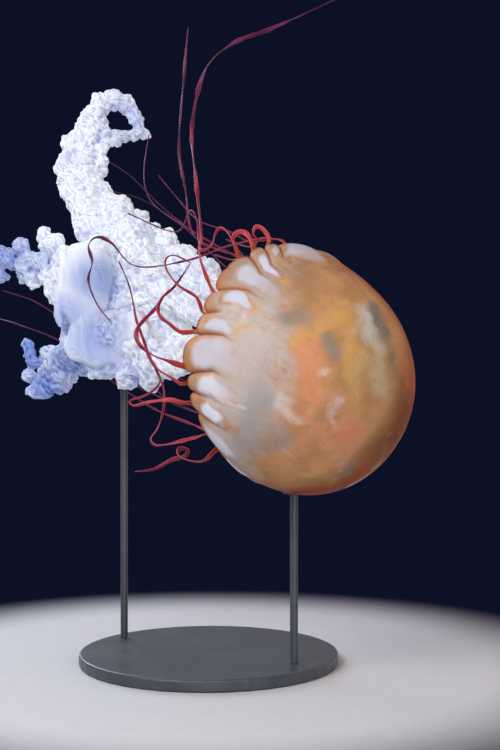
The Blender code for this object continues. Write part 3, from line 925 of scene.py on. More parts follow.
def trailing_points(number, phi, root):
    """The rule for a tentacle that trails free: away from the apex, outward and in waves."""
    reach = TRAIL_REACH[0] + (TRAIL_REACH[1] - TRAIL_REACH[0]) * (number * 5 % 7) / 6
    points = []
    for share in (0.12, 0.3, 0.5, 0.7, 0.87, 1.0):
        swing = 2 * pi * (1.2 * share + 0.17 * number)
        spread = TRAIL_SPREAD * smooth_step(share, 0, 0.6)
        wave = TRAIL_WAVE * share * (np.sin(swing) * NEARER + np.cos(swing) * UPPER)
        rise = reach * share * TRAIL_LIFT * np.array([0, 0, 1])
        points.append(root - reach * share * AXIS + spread * around(phi) + wave + rise)
    return points


def tentacle_course(number):
    phi = tentacle_phi(number)
    under = MARGIN_WALL + ROOT_WIDTH * TENTACLE_FLATNESS / 2 + 2 * GAP
    start = bell_points(NOTCH_ANGLE - ROOT_OVERLAP, phi, -under)
    leaving = bell_points(NOTCH_ANGLE + LAPPET_ANGLE, phi, -under - 2 * GAP)
    if number in COURSES:
        rest = [BELL_CENTRE + point for point in np.array(COURSES[number])]
    else:
        rest = trailing_points(number, phi, leaving)
    return Course([start, leaving, *rest])


courses = {number: tentacle_course(number) for number in range(1, 3 * BAYS + 1)}
print("tentacles", round(min(course.length for course in courses.values())), "to",
      round(max(course.length for course in courses.values())), "mm long")

# %% Tentacle skins
TENTACLE_SIDES = 12
TENTACLE_STEP = 1.6
TWIST = 1.3  # radians, to and fro
TIP_LENGTH = 5.0  # millimetres over which the tip is rounded
WET_RIBBON = {
    "Roughness": 0.4,
    "Specular IOR Level": 0.3,
    "Subsurface Weight": 0.25,
    "Subsurface Radius": (1.0, 0.3, 0.35),
    "Subsurface Scale": 0.004,
    "Coat Weight": 0.06,
    "Coat Roughness": 0.35,
}


def tentacle_finish():
    finish = Finish("tentacle_ribbon", WET_RIBBON)
    ramp = finish.ramp
    mottle = finish.noise(finish.place(), 420, 3, 0.6)
    bands = finish.noise(finish.place("ribbon"), 1.0, 3, 0.55)
    shade_stretches = finish.noise(finish.place("ribbon"), 0.35, 2, 0.5)
    far = finish.number("distance") + (bands - 0.5) * 34
    # A painted highlight: the ribbon's edges turn pale pink along its middle stretch.
    painted_edge_highlight = finish.number("edge") * ramp(far, 18, 44) * (1 - ramp(far, 90, 160))
    tone = finish.washed(
        (178, 100, 54),
        (ramp(far, 8, 36), (184, 66, 46)),
        (ramp(far, 26, 58), (164, 34, 56)),
        (ramp(far, 55, 110), (122, 24, 54)),
        (ramp(far, 130, 300), (92, 30, 72)),
        # Painted shade: dark stretches along the ribbon, for its shaded back face as it twists.
        (ramp(shade_stretches, 0.48, 0.6) * ramp(far, 30, 56) * 0.6, (66, 16, 40)),
        (painted_edge_highlight * 0.4, (226, 112, 126)),
        (ramp(mottle, 0.5, 0.8) * 0.3, (104, 16, 40)),
    )
    finish.set("Roughness", ramp(mottle, 0.2, 0.8, 0.4, 0.56))
    return finish.painted(tone, mottle * 0.4 + bands * 0.6, 0.0003, 0.4)


# Along a tentacle: the distance from its notch, and how broad the ribbon is there.
RIBBON_AT = (0, 6, 22, 40, 60, 95, 140, 220, 480)
RIBBON_WIDTH = (2.8, 3.3, 4.6, 5.0, 3.8, 2.8, 2.4, 1.9, 1.3)
RIBBON_THICKNESS = (1.6, 1.6, 1.6, 1.6, 1.5, 1.4, 1.3, 1.2, 1.0)
# Ribbons broader or slimmer than the rest.
BREADTHS = {1: 0.9, 2: 0.75, 3: 0.8, 20: 1.5, 21: 1.15, 22: 0.85, 23: 1.1, 24: 1.4}
# Ribbons that broaden again on their way: from, to and how broad.
SWELLINGS = {3: (80, 420, 4.4), 7: (255, 350, 4.6), 8: (150, 420, 3.4)}
SWELL_EASE = 25.0  # millimetres over which they do


def tentacle_sizes(number, distances, length):
    """Narrow at the notch, a broad flat ribbon a little way out, then drawn out to a thread."""
    dice = np.random.default_rng(100 + number)
    stretch = dice.uniform(0.85, 1.2)
    broad = np.interp(distances / stretch, RIBBON_AT, RIBBON_WIDTH)
    broad = broad * BREADTHS.get(number, dice.uniform(0.9, 1.15))
    if number in SWELLINGS:
        start, stop, width = SWELLINGS[number]
        swollen = smooth_step(distances, start, start + SWELL_EASE)
        swollen = swollen * smooth_step(distances, stop, stop - SWELL_EASE)
        broad = broad + (width - broad) * swollen
    deep = np.interp(distances / stretch, RIBBON_AT, RIBBON_THICKNESS)
    waves = sum(
        0.10 * sway(distances, dice.uniform(low, high), dice.uniform(0, 2 * pi))
        for low, high in ((30, 52), (12, 20))
    )
    end = np.sqrt(np.clip((length - distances) / TIP_LENGTH, 0.04, 1))
    return broad * (1 + waves) * end, deep * end


def make_tentacle(number, material):
    """One ribbon: a ring of points, swept along its course."""
    course = courses[number]
    count = int(course.length / TENTACLE_STEP)
    distances = np.linspace(0, course.length, count)
    middle = course.points(distances)
    ways = course.ways(distances)
    phi = tentacle_phi(number)
    sides = carried(ways, np.cross(AXIS, around(phi)))
    thin = np.cross(ways, sides)
    dice = np.random.default_rng(200 + number)
    twist = TWIST * sway(distances, dice.uniform(80, 130), dice.uniform(0, 6))
    twist = (twist * smooth_step(distances, 12, 70))[:, None]
    sides, thin = (
        np.cos(twist) * sides + np.sin(twist) * thin,
        np.cos(twist) * thin - np.sin(twist) * sides,
    )
    broad, deep = tentacle_sizes(number, distances, course.length)
    turns = 2 * pi * np.arange(TENTACLE_SIDES) / TENTACLE_SIDES
    across = (np.cos(turns)[None] * broad[:, None] / 2)[..., None] * sides[:, None]
    through = (np.sin(turns)[None] * deep[:, None] / 2)[..., None] * thin[:, None]
    grid = middle[:, None] + across + through
    along = np.repeat(distances[:, None], TENTACLE_SIDES, axis=1)
    edge = np.repeat(np.abs(np.cos(turns))[None] ** 3, count, axis=0)
    ribbon = np.stack([along / 9, edge * 0.6, np.full_like(along, number)], axis=-1)
    numbers = {"distance": along, "edge": edge}
    name = f"tentacle_skin_{number:02d}"
    skin = add_tube(name, grid, material, numbers, {"ribbon": ribbon})
    dress(skin, f"tentacle_{number:02d}_")


ribbon_material = tentacle_finish()
for tentacle_number in courses:
    make_tentacle(tentacle_number, ribbon_material)

# %% [markdown]
# ## Oral arms
#
# Four arms hang from the mouth, each a strap whose edge grows faster than its middle,
# so it buckles into lobes and frills. Cloth simulation could buckle a sheet, but
# slowly and never twice the same. Here each arm is a crowd of lobes round its course,
# with buds and winding rows of beads on them, and a broad smooth fold or two. A voxel
# remesh melts them into one skin, as a sculptor would with clay, and then winding
# grooves are pressed into it.

# %% Arm courses
MANUBRIUM_DROP = 42.0
ARM_FLATNESS = 0.52
ARM_RING = 14.0
ARM_FREE = 3.0
PARTING = -30.0  # the height on the bell's axis at which the arms part
PARTING_RING = 20.0
# Each arm: its angle round the stalk, the places it runs through, and how broad it is.
ARMS = {
    "back": (
        110,
        [(-132, 165, 138), (-178, 248, 162), (-206, 312, 196), (-234, 370, 222),
         (-249, 402, 248)],
        [20, 24, 40, 56, 48, 36, 14],
    ),
    "up": (
        20,
        [(-131, 104, 90), (-192, 186, 162), (-226, 230, 217), (-256, 245, 258), (-241, 250, 300),
         (-217, 256, 332), (-192, 262, 334), (-178, 268, 311)],
        [20, 24, 33, 66, 54, 32, 24, 15, 12, 8],
    ),
    "left": (
        200,
        [(-134, 127, 50), (-220, 142, 98), (-272, 168, 122), (-318, 185, 134), (-345, 190, 144)],
        [20, 24, 33, 60, 42, 30, 12],
    ),
    "low": (
        290,
        [(-128, 66, 17), (-196, 104, 34), (-240, 134, 28), (-272, 150, 2), (-292, 155, -16)],
        [20, 24, 32, 58, 50, 32, 14],
    ),
}


def arm_course(name):
    phi, points, _ = ARMS[name]
    start = middle_of_bell(MANUBRIUM_DROP - ARM_FREE) + ARM_RING * around(phi)
    leaving = middle_of_bell(PARTING) + PARTING_RING * around(phi)
    return Course([start, leaving, *(BELL_CENTRE + point for point in np.array(points))])


arm_courses = {name: arm_course(name) for name in ARMS}
print("arms", {name: round(course.length) for name, course in arm_courses.items()}, "mm long")

# %% Lobes, buds and beads
LOBE_STEP = 7.5  # along the arm, from one ring of lobes to the next
LOBES_A_RING = 2
LOBE_SIZE = (0.30, 0.66)  # as a share of the arm's half width
LUMPS = ((41.0, 0.16), (19.0, 0.10))  # the arm's own swellings: length and share
BUDS = 0.08  # for each square millimetre of the lobe's radius squared, up to the most
MOST_BUDS = 20
BUD_SIZE = (3.0, 6.5)
RUFFLES = 8  # crests that wind along each arm
RUFFLE_WAVE = (13.0, 18.0)  # millimetres from bend to bend
RUFFLE_STEP = 0.35  # along the arm, from bead to bead
BEAD_SIZE = (1.8, 3.2)
BEAD_GAP = 1.9
# Lobes listed one by one where arms run together or curl: right, back and up of the bell's
# middle, and their radius.
EXTRA_LOBES = {
    "back": [(-178, 140, 105, 17), (-152, 132, 84, 17), (-124, 120, 63, 15), (-104, 120, 98, 16),
        (-140, 136, 108, 15), (-128, 110, 84, 15)],
    "up": [(-228, 206, 174, 18), (-232, 213, 192, 18), (-242, 222, 210, 17), (-251, 228, 222, 16),
        (-232, 228, 222, 16), (-256, 234, 235, 15), (-240, 232, 236, 15), (-262, 238, 247, 12),
        (-248, 238, 248, 13), (-264, 240, 258, 8), (-263, 240, 266, 4), (-219, 246, 258, 7),
        (-218, 247, 248, 6), (-242, 243, 260, 12), (-240, 246, 271, 12), (-224, 248, 272, 9),
        (-236, 249, 282, 10), (-216, 252, 283, 8), (-205, 254, 286, 8), (-232, 251, 294, 11),
        (-218, 253, 293, 10), (-204, 256, 292, 8), (-194, 258, 292, 7), (-184, 261, 294, 7),
        (-174, 265, 295, 6), (-168, 266, 294, 4), (-227, 250, 306, 12), (-228, 251, 318, 12),
        (-221, 254, 329, 12), (-207, 258, 335, 11), (-193, 262, 330, 10), (-185, 262, 320, 7),
        (-180, 262, 309, 8), (-178, 263, 301, 7), (-212, 200, 160, 18)],
    "left": [(-250, 160, 132, 17), (-266, 166, 150, 14), (-276, 172, 160, 10),
        (-304, 180, 150, 10), (-242, 150, 78, 17), (-230, 140, 64, 15), (-258, 156, 96, 13),
        (-252, 152, 112, 15), (-206, 140, 120, 14), (-210, 144, 145, 15), (-330, 186, 118, 9)],
    "low": [(-216, 112, 58, 13), (-240, 128, 50, 12), (-286, 154, 20, 8), (-292, 156, 38, 7),
        (-290, 155, 29, 7), (-291, 155, 4, 8), (-272, 150, -10, 10), (-254, 146, -4, 11),
        (-252, 140, 12, 10), (-206, 100, 12, 12), (-176, 88, 2, 12), (-150, 80, 0, 11),
        (-155, 120, 43, 16), (-130, 110, 30, 15)],
}


def arm_frame(course, distances):
    """The place, the broad side and the thin side of a strap at some distances."""
    ways = course.ways(distances, 3.0)
    broad = unit(np.cross(ways, (0.0, 1.0, 0.0)))
    return course.points(distances), broad, np.cross(ways, broad)


def main_lobes(name, dice):
    """Centres and radii of an arm's large lobes, from its root to its tip."""
    course = arm_courses[name]
    rings = np.arange(LOBE_STEP / 2, course.length, LOBE_STEP)
    distances = np.repeat(rings, LOBES_A_RING) + dice.uniform(-3, 3, LOBES_A_RING * len(rings))
    distances = np.clip(distances, 2, course.length - 4)
    half = np.interp(distances, course.marks, ARMS[name][2]) / 2
    for length, share in LUMPS:
        half = half * (1 + share * sway(distances, length, dice.uniform(0, 2 * pi)))
    radius = half * dice.uniform(*LOBE_SIZE, len(half))
    turn = dice.uniform(0, 2 * pi, len(half))
    reach = (half - radius) * dice.uniform(0.75, 1.2, len(half))
    middle, broad, thin = arm_frame(course, distances)
    across = np.cos(turn)[:, None] * broad + (ARM_FLATNESS * np.sin(turn))[:, None] * thin
    strap = course.points(rings)
    strap_radius = 0.4 * np.interp(rings, course.marks, ARMS[name][2]) / 2
    extra = np.array(EXTRA_LOBES[name], float)
    centres = [middle + reach[:, None] * across, strap, BELL_CENTRE + extra[:, :3]]
    return np.concatenate(centres), np.concatenate([radius, strap_radius, extra[:, 3]])


def sprouted(centres, radii, counts, sizes, dice):
    """Smaller lobes scattered over the surface of larger ones."""
    owner = np.repeat(np.arange(len(centres)), counts)
    ways = unit(dice.normal(size=(len(owner), 3)))
    small = np.minimum(dice.uniform(*sizes, len(owner)), 0.5 * radii[owner])
    return centres[owner] + ways * (radii[owner] * 0.95)[:, None], small


def surface_of(lobes, places, ways):
    """How far out from each place, its own way, the lobes reach."""
    centres, radii = lobes
    away = centres[None] - places[:, None]
    along = (away * ways[:, None]).sum(axis=2)
    inside = radii[None] ** 2 - (away**2).sum(axis=2) + along**2
    return np.where(inside > 0, along + np.sqrt(np.maximum(inside, 0)), 0).max(axis=1)


def ruffle(name, order, lobes, dice):
    """Beads along one crest, which winds to and fro over the lobes."""
    course = arm_courses[name]
    distances = np.arange(4, course.length - 2, RUFFLE_STEP)
    phase = dice.uniform(0, 2 * pi, 5)
    slow = 1.6 * sway(distances, 97, phase[0]) + sway(distances, 41, phase[1])
    swing = 2 * pi * distances / dice.uniform(*RUFFLE_WAVE) + slow
    reach = pi / RUFFLES * (0.9 + 0.35 * sway(distances, 29, phase[2]))
    turn = 2 * pi * order / RUFFLES + reach * np.sin(swing)
    turn = turn + 0.4 * np.sin(distances / 37 + phase[3])
    back = distances - 2.4 * np.sin(2 * swing)
    middle, broad, thin = arm_frame(course, np.clip(back, 1, course.length - 1))
    ways = unit(np.cos(turn)[:, None] * broad + np.sin(turn)[:, None] * thin)
    out = surface_of(lobes, middle, ways)
    beads = middle + out[:, None] * ways
    path = np.concatenate([[0], np.cumsum(np.linalg.norm(np.diff(beads, axis=0), axis=1))])
    kept = np.unique(np.floor(path / BEAD_GAP).astype(int), return_index=True)[1]
    kept = kept[out[kept] > 3]
    size = dice.uniform(*BEAD_SIZE, len(kept)) * (1 + 0.15 * np.sin(path[kept] / 7 + phase[4]))
    return beads[kept], size


def lobes_of(name):
    """An arm's lobes, the buds on them, and the beads that wind over both."""
    dice = np.random.default_rng(sum(map(ord, name)))
    lobes = main_lobes(name, dice)
    counts = np.clip(BUDS * lobes[1] ** 2, 3, MOST_BUDS).astype(int)
    buds = sprouted(*lobes, counts, BUD_SIZE, dice)
    crests = [ruffle(name, order, lobes, dice) for order in range(RUFFLES)]
    beads = tuple(np.concatenate(part) for part in zip(*crests))
    print(name, "has", len(lobes[1]), "lobes,", len(buds[1]), "buds and", len(beads[1]), "beads")
    return lobes, buds, beads


# Broad smooth folds that hang before an arm: the middle, half sizes, and length of a pleat.
DRAPES = {
    "left": [((-223, 120, 104), (27, 12, 50), 23.0), ((-250, 119, 100), (6, 8, 44), 40.0)],
    "low": [((-200, 97, 44), (42, 13, 30), 17.0), ((-172, 92, 50), (22, 12, 24), 13.0)],
}
DRAPE_SQUARE = 0.75  # under 1, the fold's outline is squarer than an oval
DRAPE_SLOPE = 0.32  # how far back its upper part leans
PLEAT_DEPTH = 0.8


def drapes_of(name):
    """Points and triangles of an arm's broad folds, pleated from top to bottom."""
    shapes = []
    for middle, half, pleat in DRAPES.get(name, []):
        points, faces = balls(np.zeros((1, 3)), np.ones(1), 5)
        points = np.sign(points) * np.abs(points) ** DRAPE_SQUARE * half
        swing = 2 * pi * points[:, 0] / pleat + 1.1 * np.sin(points[:, 2] / 17)
        depth = np.sin(swing) + 0.5 * np.sin(1.7 * swing + points[:, 2] / 10)
        points[:, 1] -= PLEAT_DEPTH * depth * np.sin(points[:, 2] / 29 + pleat)
        points[:, 1] += DRAPE_SLOPE * points[:, 2]
        points[:, 0] += 2.0 * np.sin(points[:, 2] / 12) + 0.9 * np.sin(points[:, 2] / 3.7)
        points[:, 2] += 2.0 * np.sin(points[:, 0] / 5.3)
        shapes.append((points + BELL_CENTRE + middle, faces))
    return shapes


# %% One skin over the lobes
VOXEL = 1.28  # millimetres
MELT = 2  # rounds of smoothing after the remesh
FOLD_ROUNDS = (3, 14)  # smoothing that shows fine and broad folds


def balls(centres, radii, subdivisions):
    """One mesh of many balls: points and triangles."""
    shape = bmesh.new()
    bmesh.ops.create_icosphere(shape, subdivisions=subdivisions, radius=1)
    ball = np.array([vert.co for vert in shape.verts])
    corners = np.array([[vert.index for vert in face.verts] for face in shape.faces])
    shape.free()
    points = centres[:, None] + radii[:, None, None] * ball[None]
    faces = corners[None] + len(ball) * np.arange(len(centres))[:, None, None]
    return points.reshape(-1, 3), faces.reshape(-1, 3)


def melted(shapes):
    """Balls run together by a voxel remesh: points in millimetres, and faces."""
    points = np.concatenate([part for part, _ in shapes])
    starts = np.cumsum([0] + [len(part) for part, _ in shapes])
    faces = np.concatenate([part + start for (_, part), start in zip(shapes, starts)])
    mesh = bpy.data.meshes.new("lobes")
    mesh.from_pydata(points * MM, [], faces.tolist())
    clay = bpy.data.objects.new("lobes", mesh)
    bpy.context.scene.collection.objects.link(clay)
    remesh = clay.modifiers.new("remesh", "REMESH")
    remesh.mode = "VOXEL"
    remesh.voxel_size = VOXEL * MM
    skin = clay.evaluated_get(bpy.context.evaluated_depsgraph_get()).to_mesh()
    grid = np.empty(3 * len(skin.vertices))
    skin.vertices.foreach_get("co", grid)
    corners = np.empty(len(skin.loops), int)
    skin.loops.foreach_get("vertex_index", corners)
    bpy.data.objects.remove(clay)
    return grid.reshape(-1, 3) / MM, corners.reshape(-1, 4)


def largest_part(points, faces):
    """Leave out crumbs that touch nothing."""
    label = np.arange(len(points))
    while True:
        lowest = label.copy()
        np.minimum.at(lowest, faces.ravel(), np.repeat(label[faces].min(axis=1), 4))
        lowest = lowest[lowest]
        if (lowest == label).all():
            break
        label = lowest
    kept = label == np.bincount(label).argmax()
    new_index = np.cumsum(kept) - 1
    return points[kept], new_index[faces[kept[faces[:, 0]]]]


def summed(index, values, count):
    """Rows of three values, added up for each point that they belong to."""
    return np.stack([np.bincount(index, values[:, i], count) for i in range(3)], axis=-1)


def smoothed(values, faces, rounds):
    """Each point's value drawn to the mean of its neighbours, some times over."""
    edges = np.stack([faces, np.roll(faces, -1, axis=1)])
    start, end = edges.transpose(0, 2, 1).reshape(2, -1)
    count = np.bincount(start, minlength=len(values))[:, None]
    for _ in range(rounds):
        values = (values + summed(start, values[end], len(values)) / count) / 2
    return values


def point_normals(points, faces):
    """The way out of the surface at each point."""
    corners = points[faces]
    across = np.cross(corners[:, 2] - corners[:, 0], corners[:, 3] - corners[:, 1])
    return unit(summed(faces.ravel(), np.repeat(across, 4, axis=0), len(points)) + 1e-12)


CRIMP_LENGTH = 21.0  # two frills
CRIMP_DEPTH = 1.9
CRIMP_SWAYS = ((31.0, 5.4), (17.0, 2.9), (9.0, 0.9))  # the length and size of the bends
CRIMP_WAVES = 4
CRIMP_CALM = 1.4  # divides each wave's size, as they add up


def off_drapes(name, points):
    """0 on an arm's broad folds, 1 away from them."""
    share = np.ones(len(points))
    for middle, half, _ in DRAPES.get(name, []):
        offset = points - BELL_CENTRE - middle
        offset[:, 1] -= DRAPE_SLOPE * offset[:, 2]
        away = np.linalg.norm(offset / half, axis=1)
        share = np.minimum(share, smooth_step(away, 1.0, 1.4))
    return share


def crimped(points, faces, share):
    """Winding grooves pressed in, so that the surface gathers into frills."""
    dice = np.random.default_rng(5)
    bent = points.copy()
    for length, size in CRIMP_SWAYS:
        for _ in range(CRIMP_WAVES):
            way, push = unit(dice.normal(size=(2, 3)))
            swing = bent @ way * (2 * pi / length) + dice.uniform(0, 2 * pi)
            bent += np.sin(swing)[:, None] * push * size / CRIMP_CALM
    depth = np.zeros(len(points))
    for strength in (1.0, 0.7):
        swing = bent @ unit(dice.normal(size=3)) * (2 * pi / CRIMP_LENGTH)
        depth = np.maximum(depth, strength * (1 - np.abs(np.sin(swing))) ** 2.2)
    return points - CRIMP_DEPTH * (share * depth)[:, None] * point_normals(points, faces)


def fold_depths(points, faces):
    """How far each point stands out of its surroundings, in millimetres: fine and broad."""
    normals = point_normals(points, faces)
    depths = []
    for rounds in FOLD_ROUNDS:
        away = points - smoothed(points, faces, rounds)
        depths.append((away * normals).sum(axis=1))
    return depths


# %% The arms' finish
# Bluer places: where, how far they spread, how strong.
COOL_PLACES = [
    ((-214, 118, 106), 46, 0.80), ((-206, 100, 40), 60, 0.80), ((-236, 118, 66), 50, 0.80),
    ((-160, 90, 8), 38, 0.55), ((-196, 110, 120), 40, 0.35), ((-240, 120, 20), 50, 0.85),
    ((-320, 186, 138), 60, 0.85), ((-280, 168, 132), 34, 0.60),
    ((-290, 152, 30), 44, 1.0), ((-268, 148, -8), 44, 1.0), ((-195, 258, 305), 46, 0.42),
    ((-256, 240, 254), 22, 0.30), ((-230, 370, 222), 110, 0.35),
]
# Places where thin wine-red threads run over the white.
VEINED_PLACES = [
    ((-172, 100, 66), 50, 1.0), ((-148, 90, 110), 34, 0.7), ((-200, 110, 30), 40, 0.6)
]


def frilly_finish():
    finish = Finish("frilly_white", {
        "Roughness": 0.5,
        "Specular IOR Level": 0.2,
        "Subsurface Weight": 0.4,
        "Subsurface Radius": (0.8, 0.9, 1.0),
        "Subsurface Scale": 0.005,
        "Coat Weight": 0.04,
        "Coat Roughness": 0.3,
        # A faint glow in the frills' own tone: painted light.
        "Emission Strength": 0.34,
    })
    ramp = finish.ramp
    space = finish.place()
    clouds = finish.noise(space, 22, 4, 0.55)
    specks = finish.noise(space, 420, 3, 0.6)
    strands = finish.noise(space, 17, 2, 0.4, 0.8)
    folds = finish.number("fine_fold") + (specks - 0.5) * 0.3
    cool = finish.number("cool")
    # Painted shade: the frills' white darkens and turns blue-lilac in their fine creases and
    # broad hollows, by the fold depths each point carries.
    crest = finish.mix(cool, (210, 216, 217), (112, 136, 192))
    crease_shade = finish.mix(cool, (188, 194, 219), (70, 82, 150))
    hollow_shade = finish.mix(cool, (150, 158, 204), (68, 76, 144))
    veins = ramp(strands, 0.47, 0.49) * ramp(strands, 0.52, 0.5) * finish.number("veined")
    tone = finish.washed(
        crease_shade,
        (ramp(folds, -0.45, 0.3), crest),
        (ramp(finish.number("broad_fold"), 0.3, -1.6, 0, 0.75), hollow_shade),
        # More painted shade in the creases, blue and lilac, broken up by clouds.
        (ramp(clouds, 0.46, 0.66) * ramp(folds, 0.7, -0.3, 0.35, 1.0) * 0.35, (160, 166, 208)),
        (ramp(clouds, 0.42, 0.28) * ramp(folds, 0.2, -0.4) * 0.4, (180, 146, 184)),
        (veins * 0.7, (134, 64, 104)),
    )
    # The glow that the frills give off takes their tone, a painted light.
    finish.set("Emission Color", tone)
    return finish.painted(tone, specks, 0.0006, 0.45)


def near_places(points, places):
    """How strongly each point is touched by the nearest of some places."""
    touched = np.zeros(len(points))
    for spot, spread, strength in places:
        away = np.linalg.norm(points - BELL_CENTRE - spot, axis=1)
        touched = np.maximum(touched, strength * (1 - smooth_step(away, 0.2 * spread, spread)))
    return touched


def arm_places(name, points):
    """How far along the arm each point lies, and round it, from 0 to 1."""
    course = arm_courses[name]
    steps = np.linspace(0, course.length, 160)
    line, broad, thin = arm_frame(course, steps)
    away = ((points**2).sum(axis=1)[:, None] + (line**2).sum(axis=1)[None] - 2 * points @ line.T)
    nearest = away.argmin(axis=1)
    offset = points - line[nearest]
    turn = np.arctan2((offset * thin[nearest]).sum(axis=1), (offset * broad[nearest]).sum(axis=1))
    return steps[nearest] / course.length, turn / (2 * pi) + 0.5


def wrapped_uv(along, round_it, faces):
    """The places unrolled on a flat patch, each face whole on one side of the seam."""
    uv = np.stack([along[faces], round_it[faces]], axis=-1)
    crossing = np.ptp(uv[..., 1], axis=1) > 0.5
    uv[crossing, :, 1] = np.where(uv[crossing, :, 1] < 0.5, 0.999, uv[crossing, :, 1])
    return uv.reshape(-1, 2)


def make_arm(name, material):
    """Clay balls and drapes, melted into one skin, smoothed and crimped."""
    shapes = [balls(*part, level) for part, level in zip(lobes_of(name), (3, 2, 1))]
    points, faces = largest_part(*melted(shapes + drapes_of(name)))
    points = smoothed(points, faces, MELT)
    points = crimped(points, faces, off_drapes(name, points))
    fine, broad = fold_depths(points, faces)
    along, round_it = arm_places(name, points)
    cool, veined = near_places(points, COOL_PLACES), near_places(points, VEINED_PLACES)
    uv = wrapped_uv(along, round_it, faces)
    numbers = {"fine_fold": fine, "broad_fold": broad, "cool": cool, "veined": veined}
    piece = add_mesh(f"frilly_arm_{name}", points, faces, uv, material, (), numbers)
    dress(piece, f"oral_arm_{name}_")


white_frill = frilly_finish()
for arm_name in ARMS:
    make_arm(arm_name, white_frill)

# %% [markdown]
# ## The manubrium
#
# The mouth hangs from the middle of the bell on a short stalk, the manubrium, whose
# four corners run on into the arms. A turned profile would make it round, so its
# skin is a grid again, pleated along its length.

# %% Manubrium skin
MANUBRIUM_TOP = 20.0
MANUBRIUM_FOOT = 27.0
CEILING_FALL = 6.6
PLEATS = 24
PLEAT_RELIEF = 0.8
CORNER_SHARE = 0.14  # how far the four corners stand out at the foot
FLARE = 6.0  # where the stalk runs into the ceiling


def stalk_finish():
    finish = Finish("stalk_flesh", {**JELLY, "Sheen Weight": 0.1})
    space = finish.place()
    clouds = finish.noise(space, 60, 4, 0.55)
    pleat = finish.number("pleat") + (clouds - 0.5) * 0.4
    tone = finish.washed(
        (176, 112, 78),
        (finish.ramp(pleat, 0.2, 0.8), (232, 208, 184)),
        (finish.ramp(finish.number("foot"), 0.5, 1), (230, 228, 226)),
    )
    finish.set("Roughness", finish.ramp(clouds, 0.2, 0.8, 0.34, 0.5))
    return finish.painted(tone, clouds, 0.0008, 0.4)


def make_manubrium():
    """A pleated stalk with four blunt corners, flared where it meets the ceiling."""
    rows, columns = 48, 192
    share = np.linspace(0, 1, rows)[:, None]
    angle = 360 * np.arange(columns)[None] / columns
    ceiling = BELL_HEIGHT - APEX_WALL - CEILING_FALL + 2
    height = ceiling + (MANUBRIUM_DROP - ceiling) * share + 0 * angle
    radius = MANUBRIUM_TOP + (MANUBRIUM_FOOT - MANUBRIUM_TOP) * share**2
    corners = CORNER_SHARE * share * np.cos(np.radians(4 * (angle - 20)))
    pleats = np.cos(np.radians(PLEATS * angle + 40 * np.sin(5 * share)))
    radius = radius * (1 + corners) + PLEAT_RELIEF * pleats * smooth_step(share, 0, 0.3)
    flare = FLARE * (1 - smooth_step(share, 0, 0.16))
    spot = np.array([[middle_of_bell(h) for h in row] for row in height[:, :1]])
    grid = spot + (radius + flare)[..., None] * around(angle + 0 * share)
    numbers = {"pleat": 0.5 + 0.5 * pleats, "foot": share + 0 * angle}
    skin = add_tube("manubrium_skin", grid, stalk_finish(), numbers)
    dress(skin, "manubrium")


make_manubrium()

# %% [markdown]
# ## The stand
#
# The stand's solids are the right shape already, so they keep their meshes and only
# get a finish: satin dark paint over steel, with the faint orange peel of a spray gun.

# %% Stand paint
def stand_paint():
    finish = Finish("satin_paint", {"Metallic": 0.0, "Coat Weight": 0.15, "Coat Roughness": 0.3})
    space = finish.place()
    peel = finish.noise(space, 900, 3, 0.5)
    dust = finish.noise(space, 24, 5, 0.6)
    tone = finish.mix(finish.ramp(dust, 0.35, 0.75), (52, 56, 64), (66, 70, 78))
    finish.set("Roughness", finish.ramp(dust, 0.3, 0.7, 0.38, 0.5))
    return finish.painted(tone, peel, 0.0002, 0.35)


paint = stand_paint()
for node_name in node_names:
    if node_name.startswith("stand_"):
        for material_slot in bpy.data.objects[node_name].material_slots:
            material_slot.material = paint
        print(node_name, "painted")

# %% [markdown]
# ## Floor, backdrop and light
#
# A round of pale floor carries the stand and fades out before it fills the picture.
# Behind it the world is a deep, even blue, seen by the camera alone, so the white
# frills stand out while the light on them stays neutral. Large soft lamps do the
# rest: one high on the left, a broad one in front, and two behind, warm near the
# apex and cool over the arms.

# %% Stage
FLOOR_RADIUS = 0.46
FLOOR_DROP = 0.2  # millimetres under the stand
SHOWN_BLUE = (13, 17, 38)
PALE_GREY = (224, 226, 232)


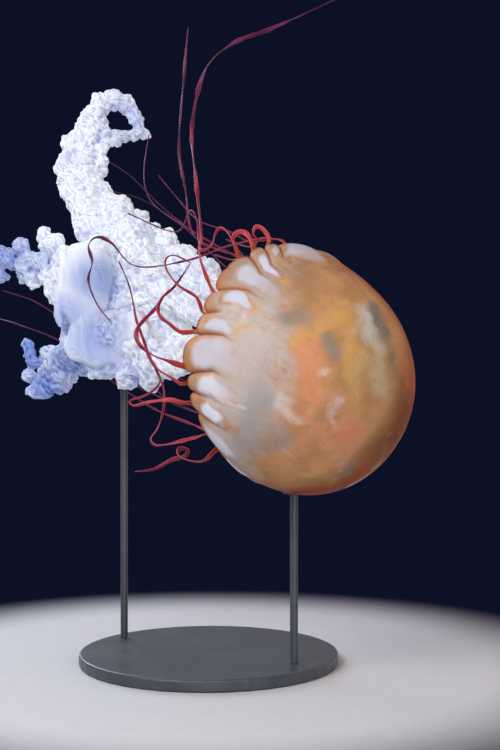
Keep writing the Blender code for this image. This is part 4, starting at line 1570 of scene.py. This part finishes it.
def make_floor():
    rings, columns = 24, 96
    radius = FLOOR_RADIUS * np.linspace(0.02, 1, rings)[:, None] / MM
    angle = np.radians(360 * np.arange(columns)[None] / columns)
    height = 0 * radius * angle - FLOOR_DROP
    grid = np.stack([radius * np.cos(angle), radius * np.sin(angle), height], axis=-1)
    finish = Finish("pale_floor", {"Roughness": 0.8})
    away = finish.node("VectorMath", {0: finish.place()}, "Value", operation="LENGTH")
    grain = finish.noise(finish.place(), 60, 4, 0.6)
    finish.set("Base Color", finish.mix(grain, (196, 198, 204), (208, 210, 214)))
    finish.set("Alpha", finish.ramp(away, 0.6 * FLOOR_RADIUS, FLOOR_RADIUS, 1, 0))
    floor = add_mesh(
        "floor", grid.reshape(-1, 3), grid_faces(rings, columns)[:, ::-1],
        grid_uv(rings, columns), finish.material, (np.arange(columns),),
    )


def make_world():
    """One colour that only the camera sees, and a paler one that lights the model."""
    world = bpy.data.worlds.new("even_blue")
    bpy.context.scene.world = world
    world.use_nodes = True
    tree = world.node_tree
    shown = tree.nodes["Background"]
    lighting = tree.nodes.new("ShaderNodeBackground")
    for background, tint, strength in ((shown, SHOWN_BLUE, 1.0), (lighting, PALE_GREY, 0.38)):
        background.inputs["Color"].default_value = colour(*tint)
        background.inputs["Strength"].default_value = strength
    path = tree.nodes.new("ShaderNodeLightPath")
    either = tree.nodes.new("ShaderNodeMixShader")
    tree.links.new(path.outputs["Is Camera Ray"], either.inputs[0])
    tree.links.new(lighting.outputs[0], either.inputs[1])
    tree.links.new(shown.outputs[0], either.inputs[2])
    tree.links.new(either.outputs[0], tree.nodes["World Output"].inputs["Surface"])


# Each lamp: place in metres, side of its square, power in watts, tint.
LAMPS = {
    "key": ((-0.75, -1.05, 1.25), 0.9, 20, (255, 250, 242)),
    "front": ((0.45, -1.5, 0.35), 1.0, 10, (244, 246, 252)),
    "warm_back": ((1.0, 0.75, 0.55), 0.7, 3, (255, 170, 110)),
    "cool_back": ((-0.9, 1.1, 0.9), 0.9, 14, (214, 226, 255)),
}
LAMPS_AIM = np.array([0.0, 0.03, 0.34])


def add_lamps():
    for name, (spot, side, power, tint) in LAMPS.items():
        data = bpy.data.lights.new(name, "AREA")
        data.shape = "SQUARE"
        data.size = side
        data.energy = power
        data.color = colour(*tint)[:3]
        lamp = bpy.data.objects.new(name, data)
        lamp.location = spot
        aim = Vector(LAMPS_AIM - np.array(spot))
        lamp.rotation_euler = aim.to_track_quat("-Z", "Y").to_euler()
        bpy.context.scene.collection.objects.link(lamp)


make_floor()
make_world()
add_lamps()
bpy.context.scene.view_settings.view_transform = "Standard"
print("lit by", ", ".join(LAMPS))
